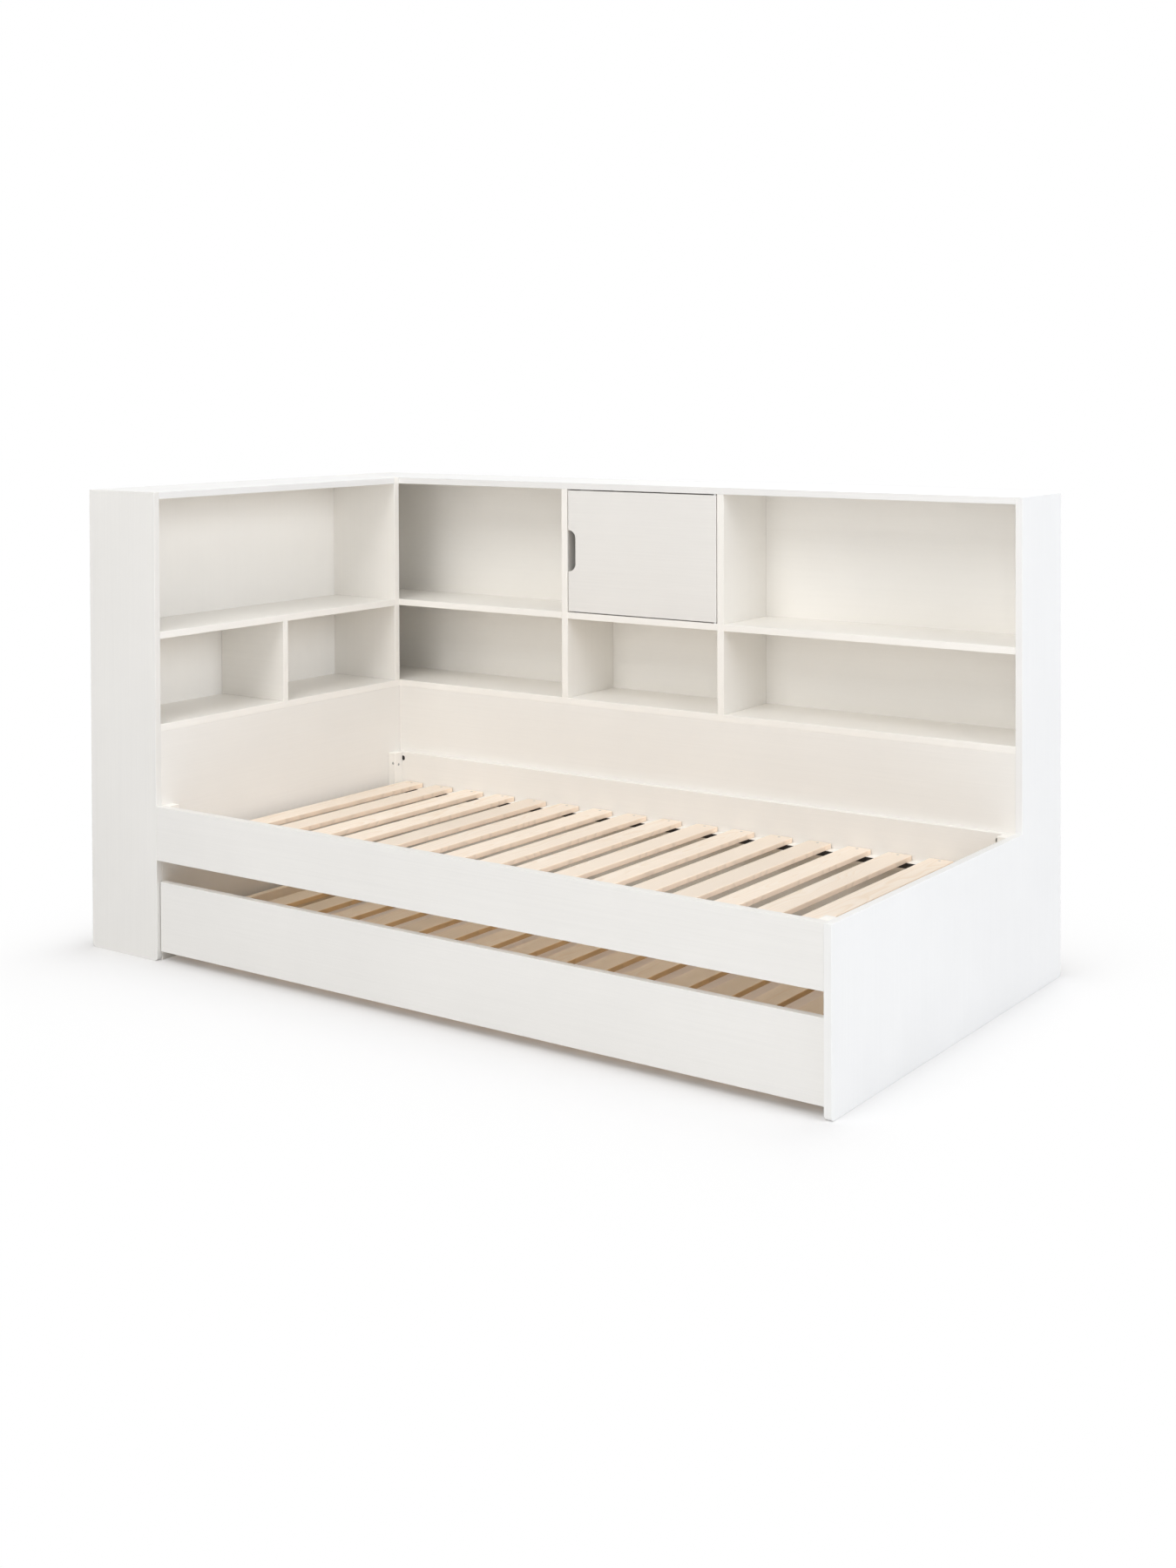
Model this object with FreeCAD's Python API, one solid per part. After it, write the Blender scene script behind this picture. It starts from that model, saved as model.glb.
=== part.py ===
"""Corner bookcase bed: a headboard bookcase, a rear bookcase along the long side,
a slatted bed between them and an end panel, and a slatted trundle bed that rolls out
from underneath.

Millimetres, +Z up.  Everything is laid out from the front left floor corner:
x runs from the headboard's outer face towards the end panel, y from the open front
towards the wall, z up from the floor.  The written files have their origin in the
middle of the footprint, on the floor.
"""
import FreeCAD, Part
import os

# ------------------------------------------------------------------ driving dimensions
# Whole bed
overall_length = 2170.0
overall_depth = 1190.0
overall_height = 1194.0

# Boards
board = 18.0                  # lacquered board: sides, shelves, panels
partition = 20.0              # upright dividers of the rear bookcase, inner side
edge_rounding = 1.0           # softened edges of every lacquered board
foot_rounding = 12.0          # rounded floor corners of the outer side boards

# Back sheets and the grooves that hold them
back_sheet = 6.0
back_lap = 9.0                # how far a sheet enters the boards around it
back_fit = 0.2                # air on each side of a sheet in its groove
back_floor_gap = 10.0
rear_back_inset = 10.0        # rear sheet stands this far in front of the rear edges

# Bookcases
headboard_depth = 243.0
rear_bookcase_depth = 238.0
base_shelf_underside = 584.0
lower_cubby_height = 218.0
left_column_clear = 585.5     # free width seen from the bed, right of the headboard
cupboard_clear = 479.5        # free width of the middle column, with the door

# Bed rails, ledgers and corner blocks
rail_top = 395.0
rail_height = 137.0
front_rail_thickness = 22.0
rear_rail_thickness = 18.0
batten_narrow = 24.0          # ledgers' height, corner blocks' width along the bed
batten_wide = 34.0            # how far ledgers and blocks stand out from the rails

# Slats
slat_width = 65.0
slat_thickness = 13.0
slat_corner = 6.0             # rounded corners of a slat seen from above
slat_edge_rounding = 2.0
slat_count = 17
slat_recess = 82.0            # mattress sits this far below the rail's top
slat_head_gap = 16.0          # from the corner blocks at the headboard to the first slat
slat_foot_gap = 12.0          # from the last slat to the corner blocks at the end panel
slat_end_clearance = 2.0

# Door
door_gap = 3.0                # at the top, the bottom and the latch side
door_hinge_gap = 2.5
door_thickness = 18.0
door_hinge_edge_rounding = 2.0
notch_height = 113.0
notch_depth = 24.0
pivot_inset = 6.0             # pivot axis from the door's front face and hinge edge
pivot_diameter = 5.0
pivot_grip = 12.0             # length held in the fixed boards
pivot_reach = 15.0            # length inside the door
pivot_collar_diameter = 9.0
catch_width = 40.0
catch_depth = 15.0
catch_height = 14.0
catch_inset = 30.0
seat_gap = 0.3                # between pieces that touch or carry each other loosely

# Trundle
trundle_side_gap = 3.0
trundle_front_recess = 10.0
trundle_rear_gap = 29.0       # from its rear board to the bookcase's lower panel
trundle_floor_gap = 24.0
trundle_front_height = 178.0
trundle_side_height = 82.0
trundle_end_inset = 16.0      # end boards stand in from the ends of the front board
trundle_ledger_height = 25.0
trundle_ledger_thickness = 25.0
trundle_slat_count = 16
trundle_slat_drop = 12.5      # slats lie this far below the end boards' top
trundle_slat_margin = 30.0    # from an end board to the nearest slat

# Trundle rollers
roller_diameter = 50.0
roller_width = 20.0
roller_rim = 2.0              # rounding of the roller's rim
roller_setback = 72.0         # axle from the front board and from the rear board
axle_diameter = 8.0
axle_head_diameter = 14.0
axle_head = 2.0
axle_running_gap = 0.05       # radial
roller_side_gap = 0.5
bracket_thickness = 3.0
bracket_width = 50.0
bracket_height = 58.0
bracket_below_axle = 13.0
bracket_screw_spacing = 30.0
bracket_screw_top = 10.0      # below the bracket's top

# Screws and cam fittings
screw_diameter = 4.0
screw_head_diameter = 8.0
screw_head_height = 3.0
screw_tip_length = 4.0
screw_tip_diameter = 1.0
screw_slot_length = 4.4       # cross slot in the head
screw_slot_width = 1.0
screw_slot_depth = 1.8
slat_screw_length = 30.0
wall_screw_length = 35.0      # blocks to boards, trundle ledgers to boards
rail_screw_length = 45.0      # ledgers and blocks to rails, trundle corners
bracket_screw_length = 17.0
screw_sink = 0.2              # head below the surface
screw_slack = 0.05            # radial air round a shank
block_screw_inset = 17.0      # from the wall beside the block
block_screw_height = 363.0    # upper pair, above the floor
block_screw_spacing = 70.0    # upper pair to lower pair
block_screw_step = 5.0        # the two screws of a pair pass each other
ledger_screw_every = 3        # one ledger screw for this many slats
corner_screw_inset = 20.0     # trundle corner screws from the boards' top and bottom
cam_diameter = 15.0
cam_height = 9.0
cam_setback_head = 26.0       # from the rail's end at the headboard
cam_setback_foot = 35.0       # from the rail's end at the end panel
cam_drop = 18.0               # below the rail's top
cam_overreach = 4.0           # hole depth beyond the bolt's axis
cam_slot = 1.6
cam_slot_length = 9.0
cam_slot_depth = 2.0
bolt_diameter = 7.0
bolt_grip = 11.0              # length in the board that the rail meets

# ------------------------------------------------------------------ derived places
headboard_face = headboard_depth
end_panel_inner = overall_length - board
inner_length = end_panel_inner - headboard_face
rear_face = overall_depth - rear_bookcase_depth
inner_side_start = rear_face - partition
rear_sheet_front = overall_depth - rear_back_inset - back_sheet
sheet_top = overall_height - board + back_lap

base_shelf_top = base_shelf_underside + board
mid_shelf_underside = base_shelf_top + lower_cubby_height
mid_shelf_top = mid_shelf_underside + board
top_underside = overall_height - board

divider_left_start = headboard_face + left_column_clear
divider_left_end = divider_left_start + partition
divider_right_start = divider_left_end + cupboard_clear
divider_right_end = divider_right_start + partition

rail_bottom = rail_top - rail_height
rear_rail_face = rear_face - rear_rail_thickness
slat_top = rail_top - slat_recess
slat_underside = slat_top - slat_thickness
ledger_left = headboard_face + batten_narrow
ledger_right = end_panel_inner - batten_narrow

door_left = divider_left_end + door_gap
door_right = divider_right_start - door_hinge_gap
door_bottom = mid_shelf_top + door_gap
door_top = top_underside - door_gap
pivot_x = door_right - pivot_inset
pivot_y = rear_face + pivot_inset

trundle_left = headboard_face + trundle_side_gap
trundle_right = end_panel_inner - trundle_side_gap
trundle_face = trundle_front_recess
trundle_inner_front = trundle_face + board
trundle_rear = rear_face - trundle_rear_gap
trundle_inner_rear = trundle_rear - board
trundle_end_left = trundle_left + trundle_end_inset
trundle_end_right = trundle_right - trundle_end_inset
trundle_inner_left = trundle_end_left + board
trundle_inner_right = trundle_end_right - board
trundle_side_top = trundle_floor_gap + trundle_side_height
trundle_slat_top = trundle_side_top - trundle_slat_drop
trundle_slat_underside = trundle_slat_top - slat_thickness

X = FreeCAD.Vector(1, 0, 0)
Y = FreeCAD.Vector(0, 1, 0)
Z = FreeCAD.Vector(0, 0, 1)
origin = FreeCAD.Vector(overall_length / 2, overall_depth / 2, 0)

nodes = {}


# ------------------------------------------------------------------ shaping helpers
def point(x, y, z):
    return FreeCAD.Vector(x, y, z)


def block(x, y, z):
    """Plain box between the two ends given for each axis."""
    return Part.makeBox(x[1] - x[0], y[1] - y[0], z[1] - z[0], point(x[0], y[0], z[0]))


def softened(shape, radius=edge_rounding):
    return shape.makeFillet(radius, shape.Edges)


def panel(x, y, z):
    """Lacquered board with softened edges."""
    return softened(block(x, y, z))


def vertical_edges(shape, direction=Z):
    """Edges of a prism that run along a direction."""
    return [edge for edge in shape.Edges
            if abs(abs(edge.tangentAt(edge.FirstParameter).dot(direction)) - 1) < 1e-6]


def hole(start, direction, radius, depth):
    return Part.makeCylinder(radius, depth, start, direction)


def screw(length):
    """Countersunk wood screw pointing along -Z, its head's face at the origin."""
    shank_radius = screw_diameter / 2
    head = Part.makeCone(screw_head_diameter / 2, shank_radius, screw_head_height,
                         point(0, 0, 0), -Z)
    shank_length = length - screw_head_height - screw_tip_length
    shank = Part.makeCylinder(shank_radius, shank_length, -Z * screw_head_height, -Z)
    tip = Part.makeCone(shank_radius, screw_tip_diameter / 2, screw_tip_length,
                        -Z * (length - screw_tip_length), -Z)
    body = head.fuse([shank, tip]).removeSplitter()
    slots = [block((-a / 2, a / 2), (-b / 2, b / 2), (-screw_slot_depth, screw_head_height))
             for a, b in ((screw_slot_length, screw_slot_width),
                          (screw_slot_width, screw_slot_length))]
    return body.cut(slots)


def screw_hole(length):
    """Countersunk hole that the screw of the same length sits in."""
    radius = screw_diameter / 2 + screw_slack
    head_radius = screw_head_diameter / 2 + screw_slack
    entry = Part.makeCylinder(head_radius, screw_sink + screw_slack,
                              point(0, 0, screw_sink), -Z)
    cone = Part.makeCone(head_radius, radius, screw_head_height, -Z * screw_slack, -Z)
    shank = Part.makeCylinder(radius, length + screw_slack, point(0, 0, 0), -Z)
    return entry.fuse([cone, shank])


def driven(shape, head, direction):
    """Places a screw or its hole with its head just under a face, driven along a direction."""
    turn = FreeCAD.Rotation(-Z, direction)
    place = FreeCAD.Placement(head + direction * screw_sink, turn)
    copy = shape.copy()
    copy.Placement = place
    return copy


def driven_screws(heads, length):
    pattern = screw(length)
    return [driven(pattern, *head) for head in heads]


def driven_holes(heads, length):
    pattern = screw_hole(length)
    return [driven(pattern, *head) for head in heads]


# ------------------------------------------------------------------ where the fixings sit
def spread(first, last, count):
    step = (last - first) / (count - 1)
    return [first + step * index for index in range(count)]


def slat_screw_heads(lefts, top, front_ledger_centre, rear_ledger_centre):
    """One screw in each end of each slat, down into the ledgers."""
    return [(point(left + slat_width / 2, y, top), -Z)
            for left in lefts for y in (front_ledger_centre, rear_ledger_centre)]


def ledger_screw_heads(lefts, z, y, direction):
    """Screws through a ledger into the board behind it, between the slats."""
    pitch = lefts[1] - lefts[0]
    between = [left + (slat_width + pitch) / 2 for left in lefts[:-1:ledger_screw_every]]
    return [(point(x, y, z), direction) for x in between]


bed_slat_lefts = spread(ledger_left + slat_head_gap,
                        ledger_right - slat_foot_gap - slat_width, slat_count)
front_ledger_face = front_rail_thickness + batten_wide
rear_ledger_face = rear_rail_face - batten_wide
bed_slat_heads = slat_screw_heads(bed_slat_lefts, slat_top,
                                  front_rail_thickness + batten_wide / 2,
                                  rear_rail_face - batten_wide / 2)
ledger_middle = slat_underside - batten_narrow / 2
bed_ledger_heads = (
    ledger_screw_heads(bed_slat_lefts, ledger_middle, front_ledger_face, -Y)
    + ledger_screw_heads(bed_slat_lefts, ledger_middle, rear_ledger_face, Y))

trundle_lefts = spread(trundle_inner_left + trundle_slat_margin,
                       trundle_inner_right - trundle_slat_margin - slat_width,
                       trundle_slat_count)
trundle_front_ledger_face = trundle_inner_front + trundle_ledger_thickness
trundle_rear_ledger_face = trundle_inner_rear - trundle_ledger_thickness
trundle_slat_heads = slat_screw_heads(trundle_lefts, trundle_slat_top,
                                      trundle_inner_front + trundle_ledger_thickness / 2,
                                      trundle_inner_rear - trundle_ledger_thickness / 2)
trundle_ledger_middle = trundle_slat_underside - trundle_ledger_height / 2
trundle_ledger_heads = (
    ledger_screw_heads(trundle_lefts, trundle_ledger_middle, trundle_front_ledger_face, -Y)
    + ledger_screw_heads(trundle_lefts, trundle_ledger_middle, trundle_rear_ledger_face, Y))
trundle_corner_heads = [
    (point(x, trundle_rear, z), -Y)
    for x in (trundle_end_left + board / 2, trundle_end_right - board / 2)
    for z in (trundle_floor_gap + corner_screw_inset, trundle_side_top - corner_screw_inset)]


def corner_block_corners():
    """Wall face, way along the bed, rail face and way off the rail, for each corner."""
    return [(wall, along, rail, off)
            for wall, along in ((headboard_face, 1), (end_panel_inner, -1))
            for rail, off in ((front_rail_thickness, 1), (rear_rail_face, -1))]


def block_screw_heights():
    return (block_screw_height, block_screw_height - block_screw_spacing)


def block_rail_heads(corner):
    """Two screws through a corner block into the rail."""
    wall, along, rail, off = corner
    return [(point(wall + along * block_screw_inset, rail + off * batten_wide,
                   z + block_screw_step / 2), Y * -off) for z in block_screw_heights()]


def block_wall_heads(corner):
    """Two screws through a corner block into the board the rail meets."""
    wall, along, rail, off = corner
    return [(point(wall + along * batten_narrow, rail + off * block_screw_inset,
                   z - block_screw_step / 2), X * -along) for z in block_screw_heights()]


rail_heads = bed_ledger_heads + [head for corner in corner_block_corners()
                                 for head in block_rail_heads(corner)]
wall_heads = [head for corner in corner_block_corners()
              for head in block_wall_heads(corner)]


class Cam:
    """A cam in a rail's inner face and the bolt that it draws tight."""

    def __init__(self, wall, along, setback, bolt_y, face, way):
        self.bolt_start = point(wall, bolt_y, rail_top - cam_drop)
        self.along = X * along
        self.setback = setback
        self.mouth = point(wall + along * setback, face, rail_top - cam_drop)
        self.way = Y * way
        self.depth = abs(bolt_y - face) + cam_overreach

    def pocket(self):
        return hole(self.mouth, self.way, cam_diameter / 2, self.depth)

    def bolt_hole(self):
        """From inside the wall board to the cam."""
        start = self.bolt_start - self.along * (bolt_grip + seat_gap)
        return hole(start, self.along, bolt_diameter / 2 + screw_slack,
                    bolt_grip + seat_gap + self.setback)

    def bolt(self):
        reach = bolt_grip + self.setback - cam_diameter / 2 - seat_gap
        return hole(self.bolt_start - self.along * bolt_grip, self.along,
                    bolt_diameter / 2, reach)

    def body(self):
        """Round cam with a cross slot in its face."""
        radius = cam_diameter / 2 - screw_slack
        face = self.mouth + self.way * (self.depth - cam_height)
        cam = hole(face, self.way, radius, cam_height)
        y = sorted((face.y - self.way.y, face.y + self.way.y * cam_slot_depth))
        slots = [block((face.x - a, face.x + a), y, (face.z - b, face.z + b))
                 for a, b in ((cam_slot_length / 2, cam_slot / 2),
                              (cam_slot / 2, cam_slot_length / 2))]
        return cam.cut(slots)


cams = [Cam(wall, along, setback, bolt_y, face, way)
        for wall, along, setback in ((headboard_face, 1, cam_setback_head),
                                     (end_panel_inner, -1, cam_setback_foot))
        for bolt_y, face, way in (
            (board / 2, front_rail_thickness, -1),
            (rear_face - rear_rail_thickness / 2, rear_rail_face, 1))]
bolt_cuts = [cam.bolt_hole() for cam in cams]


# ------------------------------------------------------------------ bookcases
def end_board_with_feet(thickness_from, outline):
    """Upright board across the bed, from a y-z outline, with rounded floor corners."""
    wire = Part.makePolygon([point(thickness_from, y, z) for y, z in outline + outline[:1]])
    prism = Part.Face(wire).extrude(X * board)
    feet = [edge for edge in vertical_edges(prism, X)
            if edge.Vertexes[0].Z < edge_rounding]
    return softened(prism.makeFillet(foot_rounding, feet))


def headboard_sheet_groove():
    """Space that the headboard's back sheet takes in the boards round it."""
    return block((-edge_rounding, back_sheet + back_fit),
                 (board - back_lap - back_fit, inner_side_start + back_lap + back_fit),
                 (back_floor_gap - back_fit, sheet_top + back_fit))


def rear_sheet_groove():
    return block((board - back_lap - back_fit, end_panel_inner + back_lap + back_fit),
                 (rear_sheet_front - back_fit, rear_sheet_front + back_sheet + back_fit),
                 (back_floor_gap - back_fit, sheet_top + back_fit))


def make_headboard():
    groove = headboard_sheet_groove()
    depth = (0, headboard_face)
    clear = (board, inner_side_start)
    side = block(depth, (0, board), (0, overall_height))
    feet = [edge for edge in vertical_edges(side, Y)
            if edge.Vertexes[0].Z < edge_rounding]
    side = softened(side.makeFillet(foot_rounding, feet))
    nodes["headboard_front_side"] = side.cut([groove] + bolt_cuts)
    nodes["headboard_inner_side"] = panel(
        depth, (inner_side_start, rear_face), (base_shelf_top, overall_height)).cut(groove)
    nodes["headboard_top"] = panel(depth, clear, (top_underside, overall_height)).cut(groove)

    behind = (back_sheet + back_fit, headboard_face)
    nodes["headboard_shelf"] = panel(behind, clear, (mid_shelf_underside, mid_shelf_top))
    nodes["headboard_base"] = panel(behind, (board, rear_face),
                                    (base_shelf_underside, base_shelf_top))
    middle = (clear[0] + clear[1]) / 2
    nodes["headboard_divider"] = panel(behind, (middle - board / 2, middle + board / 2),
                                       (base_shelf_top, mid_shelf_underside))
    lower = panel((headboard_face - board, headboard_face), (board, rear_face),
                  (0, base_shelf_underside))
    nodes["headboard_lower_panel"] = lower.cut(
        driven_holes(wall_heads, wall_screw_length) + bolt_cuts)
    nodes["headboard_lower_partition"] = panel(
        (back_sheet + back_fit, headboard_face - board), (inner_side_start, rear_face),
        (0, base_shelf_underside)).cut(groove)
    nodes["headboard_back"] = block((0, back_sheet),
                                    (board - back_lap, inner_side_start + back_lap),
                                    (back_floor_gap, sheet_top))


def make_rear_bookcase():
    groove = rear_sheet_groove()
    full_depth = (rear_face, overall_depth)
    in_front = (rear_face, rear_sheet_front - back_fit)
    nodes["rear_left_side"] = panel((0, board), full_depth, (0, overall_height)).cut(groove)
    nodes["rear_top"] = panel((board, end_panel_inner), full_depth,
                              (top_underside, overall_height)).cut([groove, pivot_bores()])
    nodes["rear_base"] = panel((board, end_panel_inner), in_front,
                               (base_shelf_underside, base_shelf_top))
    upright = (base_shelf_top, top_underside)
    nodes["rear_divider_left"] = panel((divider_left_start, divider_left_end),
                                       in_front, upright)
    nodes["rear_divider_right"] = panel((divider_right_start, divider_right_end),
                                        in_front, upright)
    level = (mid_shelf_underside, mid_shelf_top)
    nodes["rear_shelf_left"] = panel((board, divider_left_start), in_front, level)
    nodes["rear_shelf_middle"] = panel((divider_left_end, divider_right_start),
                                       in_front, level).cut(pivot_bores())
    nodes["rear_shelf_right"] = panel((divider_right_end, end_panel_inner), in_front, level)
    nodes["rear_lower_panel"] = panel((headboard_face - board, end_panel_inner),
                                      (rear_face, rear_face + board),
                                      (0, base_shelf_underside))
    behind_panel = (rear_face + board, rear_sheet_front - back_fit)
    nodes["rear_lower_partitions"] = Part.makeCompound(
        [panel((start, start + partition), behind_panel, (0, base_shelf_underside))
         for start in (divider_left_start, divider_right_start)])
    nodes["rear_back"] = block((board - back_lap, end_panel_inner + back_lap),
                               (rear_sheet_front, rear_sheet_front + back_sheet),
                               (back_floor_gap, sheet_top))


def make_end_panel():
    """One L-shaped board: tall behind, low at the bed's foot."""
    outline = [(0, 0), (overall_depth, 0), (overall_depth, overall_height),
               (rear_face, overall_height), (rear_face, rail_top), (0, rail_top)]
    board_shape = end_board_with_feet(end_panel_inner, outline)
    cuts = driven_holes(wall_heads, wall_screw_length) + bolt_cuts
    nodes["end_panel"] = board_shape.cut([rear_sheet_groove()] + cuts)


# ------------------------------------------------------------------ bed frame
def make_rails():
    span = (headboard_face, end_panel_inner)
    height = (rail_bottom, rail_top)
    cuts = driven_holes(rail_heads, rail_screw_length) + bolt_cuts
    cuts += [cam.pocket() for cam in cams]
    nodes["front_rail"] = panel(span, (0, front_rail_thickness), height).cut(cuts)
    nodes["rear_rail"] = panel(span, (rear_rail_face, rear_face), height).cut(cuts)


def make_ledgers():
    span = (ledger_left, ledger_right)
    height = (slat_underside - batten_narrow, slat_underside)
    front = block(span, (front_rail_thickness, front_ledger_face), height)
    rear = block(span, (rear_ledger_face, rear_rail_face), height)
    cuts = (driven_holes(bed_slat_heads, slat_screw_length)
            + driven_holes(bed_ledger_heads, rail_screw_length))
    nodes["slat_ledgers"] = Part.makeCompound([softened(front).cut(cuts),
                                               softened(rear).cut(cuts)])


def make_corner_blocks():
    blocks = []
    for corner in corner_block_corners():
        wall, along, rail, off = corner
        x = sorted((wall, wall + along * batten_narrow))
        y = sorted((rail, rail + off * batten_wide))
        cuts = (driven_holes(block_rail_heads(corner), rail_screw_length)
                + driven_holes(block_wall_heads(corner), wall_screw_length))
        blocks.append(softened(block(x, y, (rail_bottom, rail_top))).cut(cuts))
    nodes["corner_blocks"] = Part.makeCompound(blocks)


def slat(left, y, top):
    """Pine slat lying across the bed, its corners and edges rounded."""
    bare = block((left, left + slat_width), y, (top - slat_thickness, top))
    rounded = bare.makeFillet(slat_corner, vertical_edges(bare))
    rims = [edge for face in rounded.Faces if abs(face.normalAt(0, 0).z) > 0.99
            for edge in face.Edges]
    return rounded.makeFillet(slat_edge_rounding, rims)


def make_bed_slats():
    y = (front_rail_thickness + slat_end_clearance, rear_rail_face - slat_end_clearance)
    cuts = driven_holes(bed_slat_heads, slat_screw_length)
    for number, left in enumerate(bed_slat_lefts):
        own_cuts = cuts[2 * number:2 * number + 2]
        nodes["bed_slat_%02d" % (number + 1)] = slat(left, y, slat_top).cut(own_cuts)


def make_cam_fittings():
    pieces = [piece for cam in cams for piece in (cam.body(), cam.bolt())]
    nodes["cam_fittings"] = Part.makeCompound(pieces)


def make_bed_screws():
    nodes["bed_screws"] = Part.makeCompound(
        driven_screws(bed_slat_heads, slat_screw_length)
        + driven_screws(rail_heads, rail_screw_length)
        + driven_screws(wall_heads, wall_screw_length))


# ------------------------------------------------------------------ cupboard door
def pivot_bores():
    """Bores for the two pivot pins, as one tool: through the door's ends and into the boards."""
    radius = pivot_diameter / 2 + screw_slack
    below = hole(point(pivot_x, pivot_y, mid_shelf_top - pivot_grip - seat_gap), Z, radius,
                 pivot_grip + door_gap + pivot_reach + 2 * seat_gap)
    above = hole(point(pivot_x, pivot_y, door_top - pivot_reach - seat_gap), Z, radius,
                 pivot_grip + door_gap + pivot_reach + 2 * seat_gap)
    return Part.makeCompound([below, above])


def finger_notch():
    """Finger notch in the door's latch edge: a straight side between two quarter rounds."""
    middle = (door_bottom + door_top) / 2
    half = notch_height / 2
    tool = block((door_left - notch_height, door_left + notch_depth),
                 (rear_face - board, rear_face + door_thickness + board),
                 (middle - half, middle + half))
    corners = [edge for edge in vertical_edges(tool, Y)
               if edge.Vertexes[0].X > door_left]
    return tool.makeFillet(notch_depth - 2 * edge_rounding, corners)


def make_door():
    leaf = block((door_left, door_right), (rear_face, rear_face + door_thickness),
                 (door_bottom, door_top))
    hinge_edge = [edge for edge in vertical_edges(leaf)
                  if edge.Vertexes[0].X > pivot_x and edge.Vertexes[0].Y < pivot_y]
    leaf = leaf.makeFillet(door_hinge_edge_rounding, hinge_edge).cut(finger_notch())
    rims = [edge for edge in leaf.Edges
            if all(abs(vertex.Y - rear_face - door_thickness) < 1e-6
                   for vertex in edge.Vertexes)]
    leaf = leaf.makeFillet(edge_rounding, rims)
    nodes["cupboard_door"] = leaf.cut(pivot_bores())


def make_pivots():
    """Steel pins at the door's top and bottom; a collar on each keeps the door's gap."""
    pin_radius = pivot_diameter / 2
    pins = []
    for base, way in ((point(pivot_x, pivot_y, mid_shelf_top), 1),
                      (point(pivot_x, pivot_y, top_underside), -1)):
        pin = Part.makeCylinder(pin_radius, pivot_grip + door_gap + pivot_reach,
                                base - Z * way * pivot_grip, Z * way)
        collar = Part.makeCylinder(pivot_collar_diameter / 2, door_gap - seat_gap,
                                   base, Z * way)
        pins.append(pin.fuse(collar).removeSplitter())
    nodes["door_pivots"] = Part.makeCompound(pins)


def make_catch():
    """Magnetic catch under the top board; the closed door rests against it."""
    left = divider_left_end + catch_inset
    front = rear_face + door_thickness + seat_gap
    nodes["door_catch"] = softened(block((left, left + catch_width),
                                         (front, front + catch_depth),
                                         (top_underside - catch_height, top_underside)))


# ------------------------------------------------------------------ trundle
def roller_places():
    """Inner face of the end board, way into the trundle, and axle's y, for each roller."""
    rows = (("front", trundle_inner_front + roller_setback),
            ("rear", trundle_inner_rear - roller_setback))
    return [("%s_%s" % (row, side), face, inward, y)
            for row, y in rows
            for side, face, inward in (("left", trundle_inner_left, 1),
                                       ("right", trundle_inner_right, -1))]


def bracket_screw_heads(place):
    name, face, inward, y = place
    z = roller_diameter / 2 - bracket_below_axle + bracket_height - bracket_screw_top
    x = face + inward * bracket_thickness
    return [(point(x, y + side * bracket_screw_spacing / 2, z), X * -inward)
            for side in (-1, 1)]


def bracket_screw_cuts():
    return driven_holes([head for place in roller_places()
                         for head in bracket_screw_heads(place)], bracket_screw_length)


def make_trundle_box():
    span = (trundle_left, trundle_right)
    front = panel(span, (trundle_face, trundle_inner_front),
                  (trundle_floor_gap, trundle_floor_gap + trundle_front_height))
    ledger_cuts = driven_holes(trundle_ledger_heads, wall_screw_length)
    nodes["trundle_front"] = front.cut(ledger_cuts)
    height = (trundle_floor_gap, trundle_side_top)
    corner_cuts = driven_holes(trundle_corner_heads, rail_screw_length)
    cuts = corner_cuts + bracket_screw_cuts()
    inside = (trundle_inner_front, trundle_inner_rear)
    nodes["trundle_left_end"] = panel((trundle_end_left, trundle_inner_left),
                                      inside, height).cut(cuts)
    nodes["trundle_right_end"] = panel((trundle_inner_right, trundle_end_right),
                                       inside, height).cut(cuts)
    rear = panel((trundle_end_left, trundle_end_right),
                 (trundle_inner_rear, trundle_rear), height)
    nodes["trundle_rear"] = rear.cut(corner_cuts + ledger_cuts)


def make_trundle_ledgers():
    span = (trundle_inner_left, trundle_inner_right)
    height = (trundle_slat_underside - trundle_ledger_height, trundle_slat_underside)
    cuts = (driven_holes(trundle_slat_heads, slat_screw_length)
            + driven_holes(trundle_ledger_heads, wall_screw_length))
    ledgers = [softened(block(span, y, height)).cut(cuts)
               for y in ((trundle_inner_front, trundle_front_ledger_face),
                         (trundle_rear_ledger_face, trundle_inner_rear))]
    nodes["trundle_ledgers"] = Part.makeCompound(ledgers)


def make_trundle_slats():
    y = (trundle_inner_front + slat_end_clearance, trundle_inner_rear - slat_end_clearance)
    cuts = driven_holes(trundle_slat_heads, slat_screw_length)
    slats = [slat(left, y, trundle_slat_top).cut(cuts[2 * number:2 * number + 2])
             for number, left in enumerate(trundle_lefts)]
    nodes["trundle_slats"] = Part.makeCompound(slats)


def make_trundle_screws():
    bracket_heads = [head for place in roller_places()
                     for head in bracket_screw_heads(place)]
    nodes["trundle_screws"] = Part.makeCompound(
        driven_screws(trundle_slat_heads, slat_screw_length)
        + driven_screws(trundle_ledger_heads, wall_screw_length)
        + driven_screws(trundle_corner_heads, rail_screw_length)
        + driven_screws(bracket_heads, bracket_screw_length))


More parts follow.
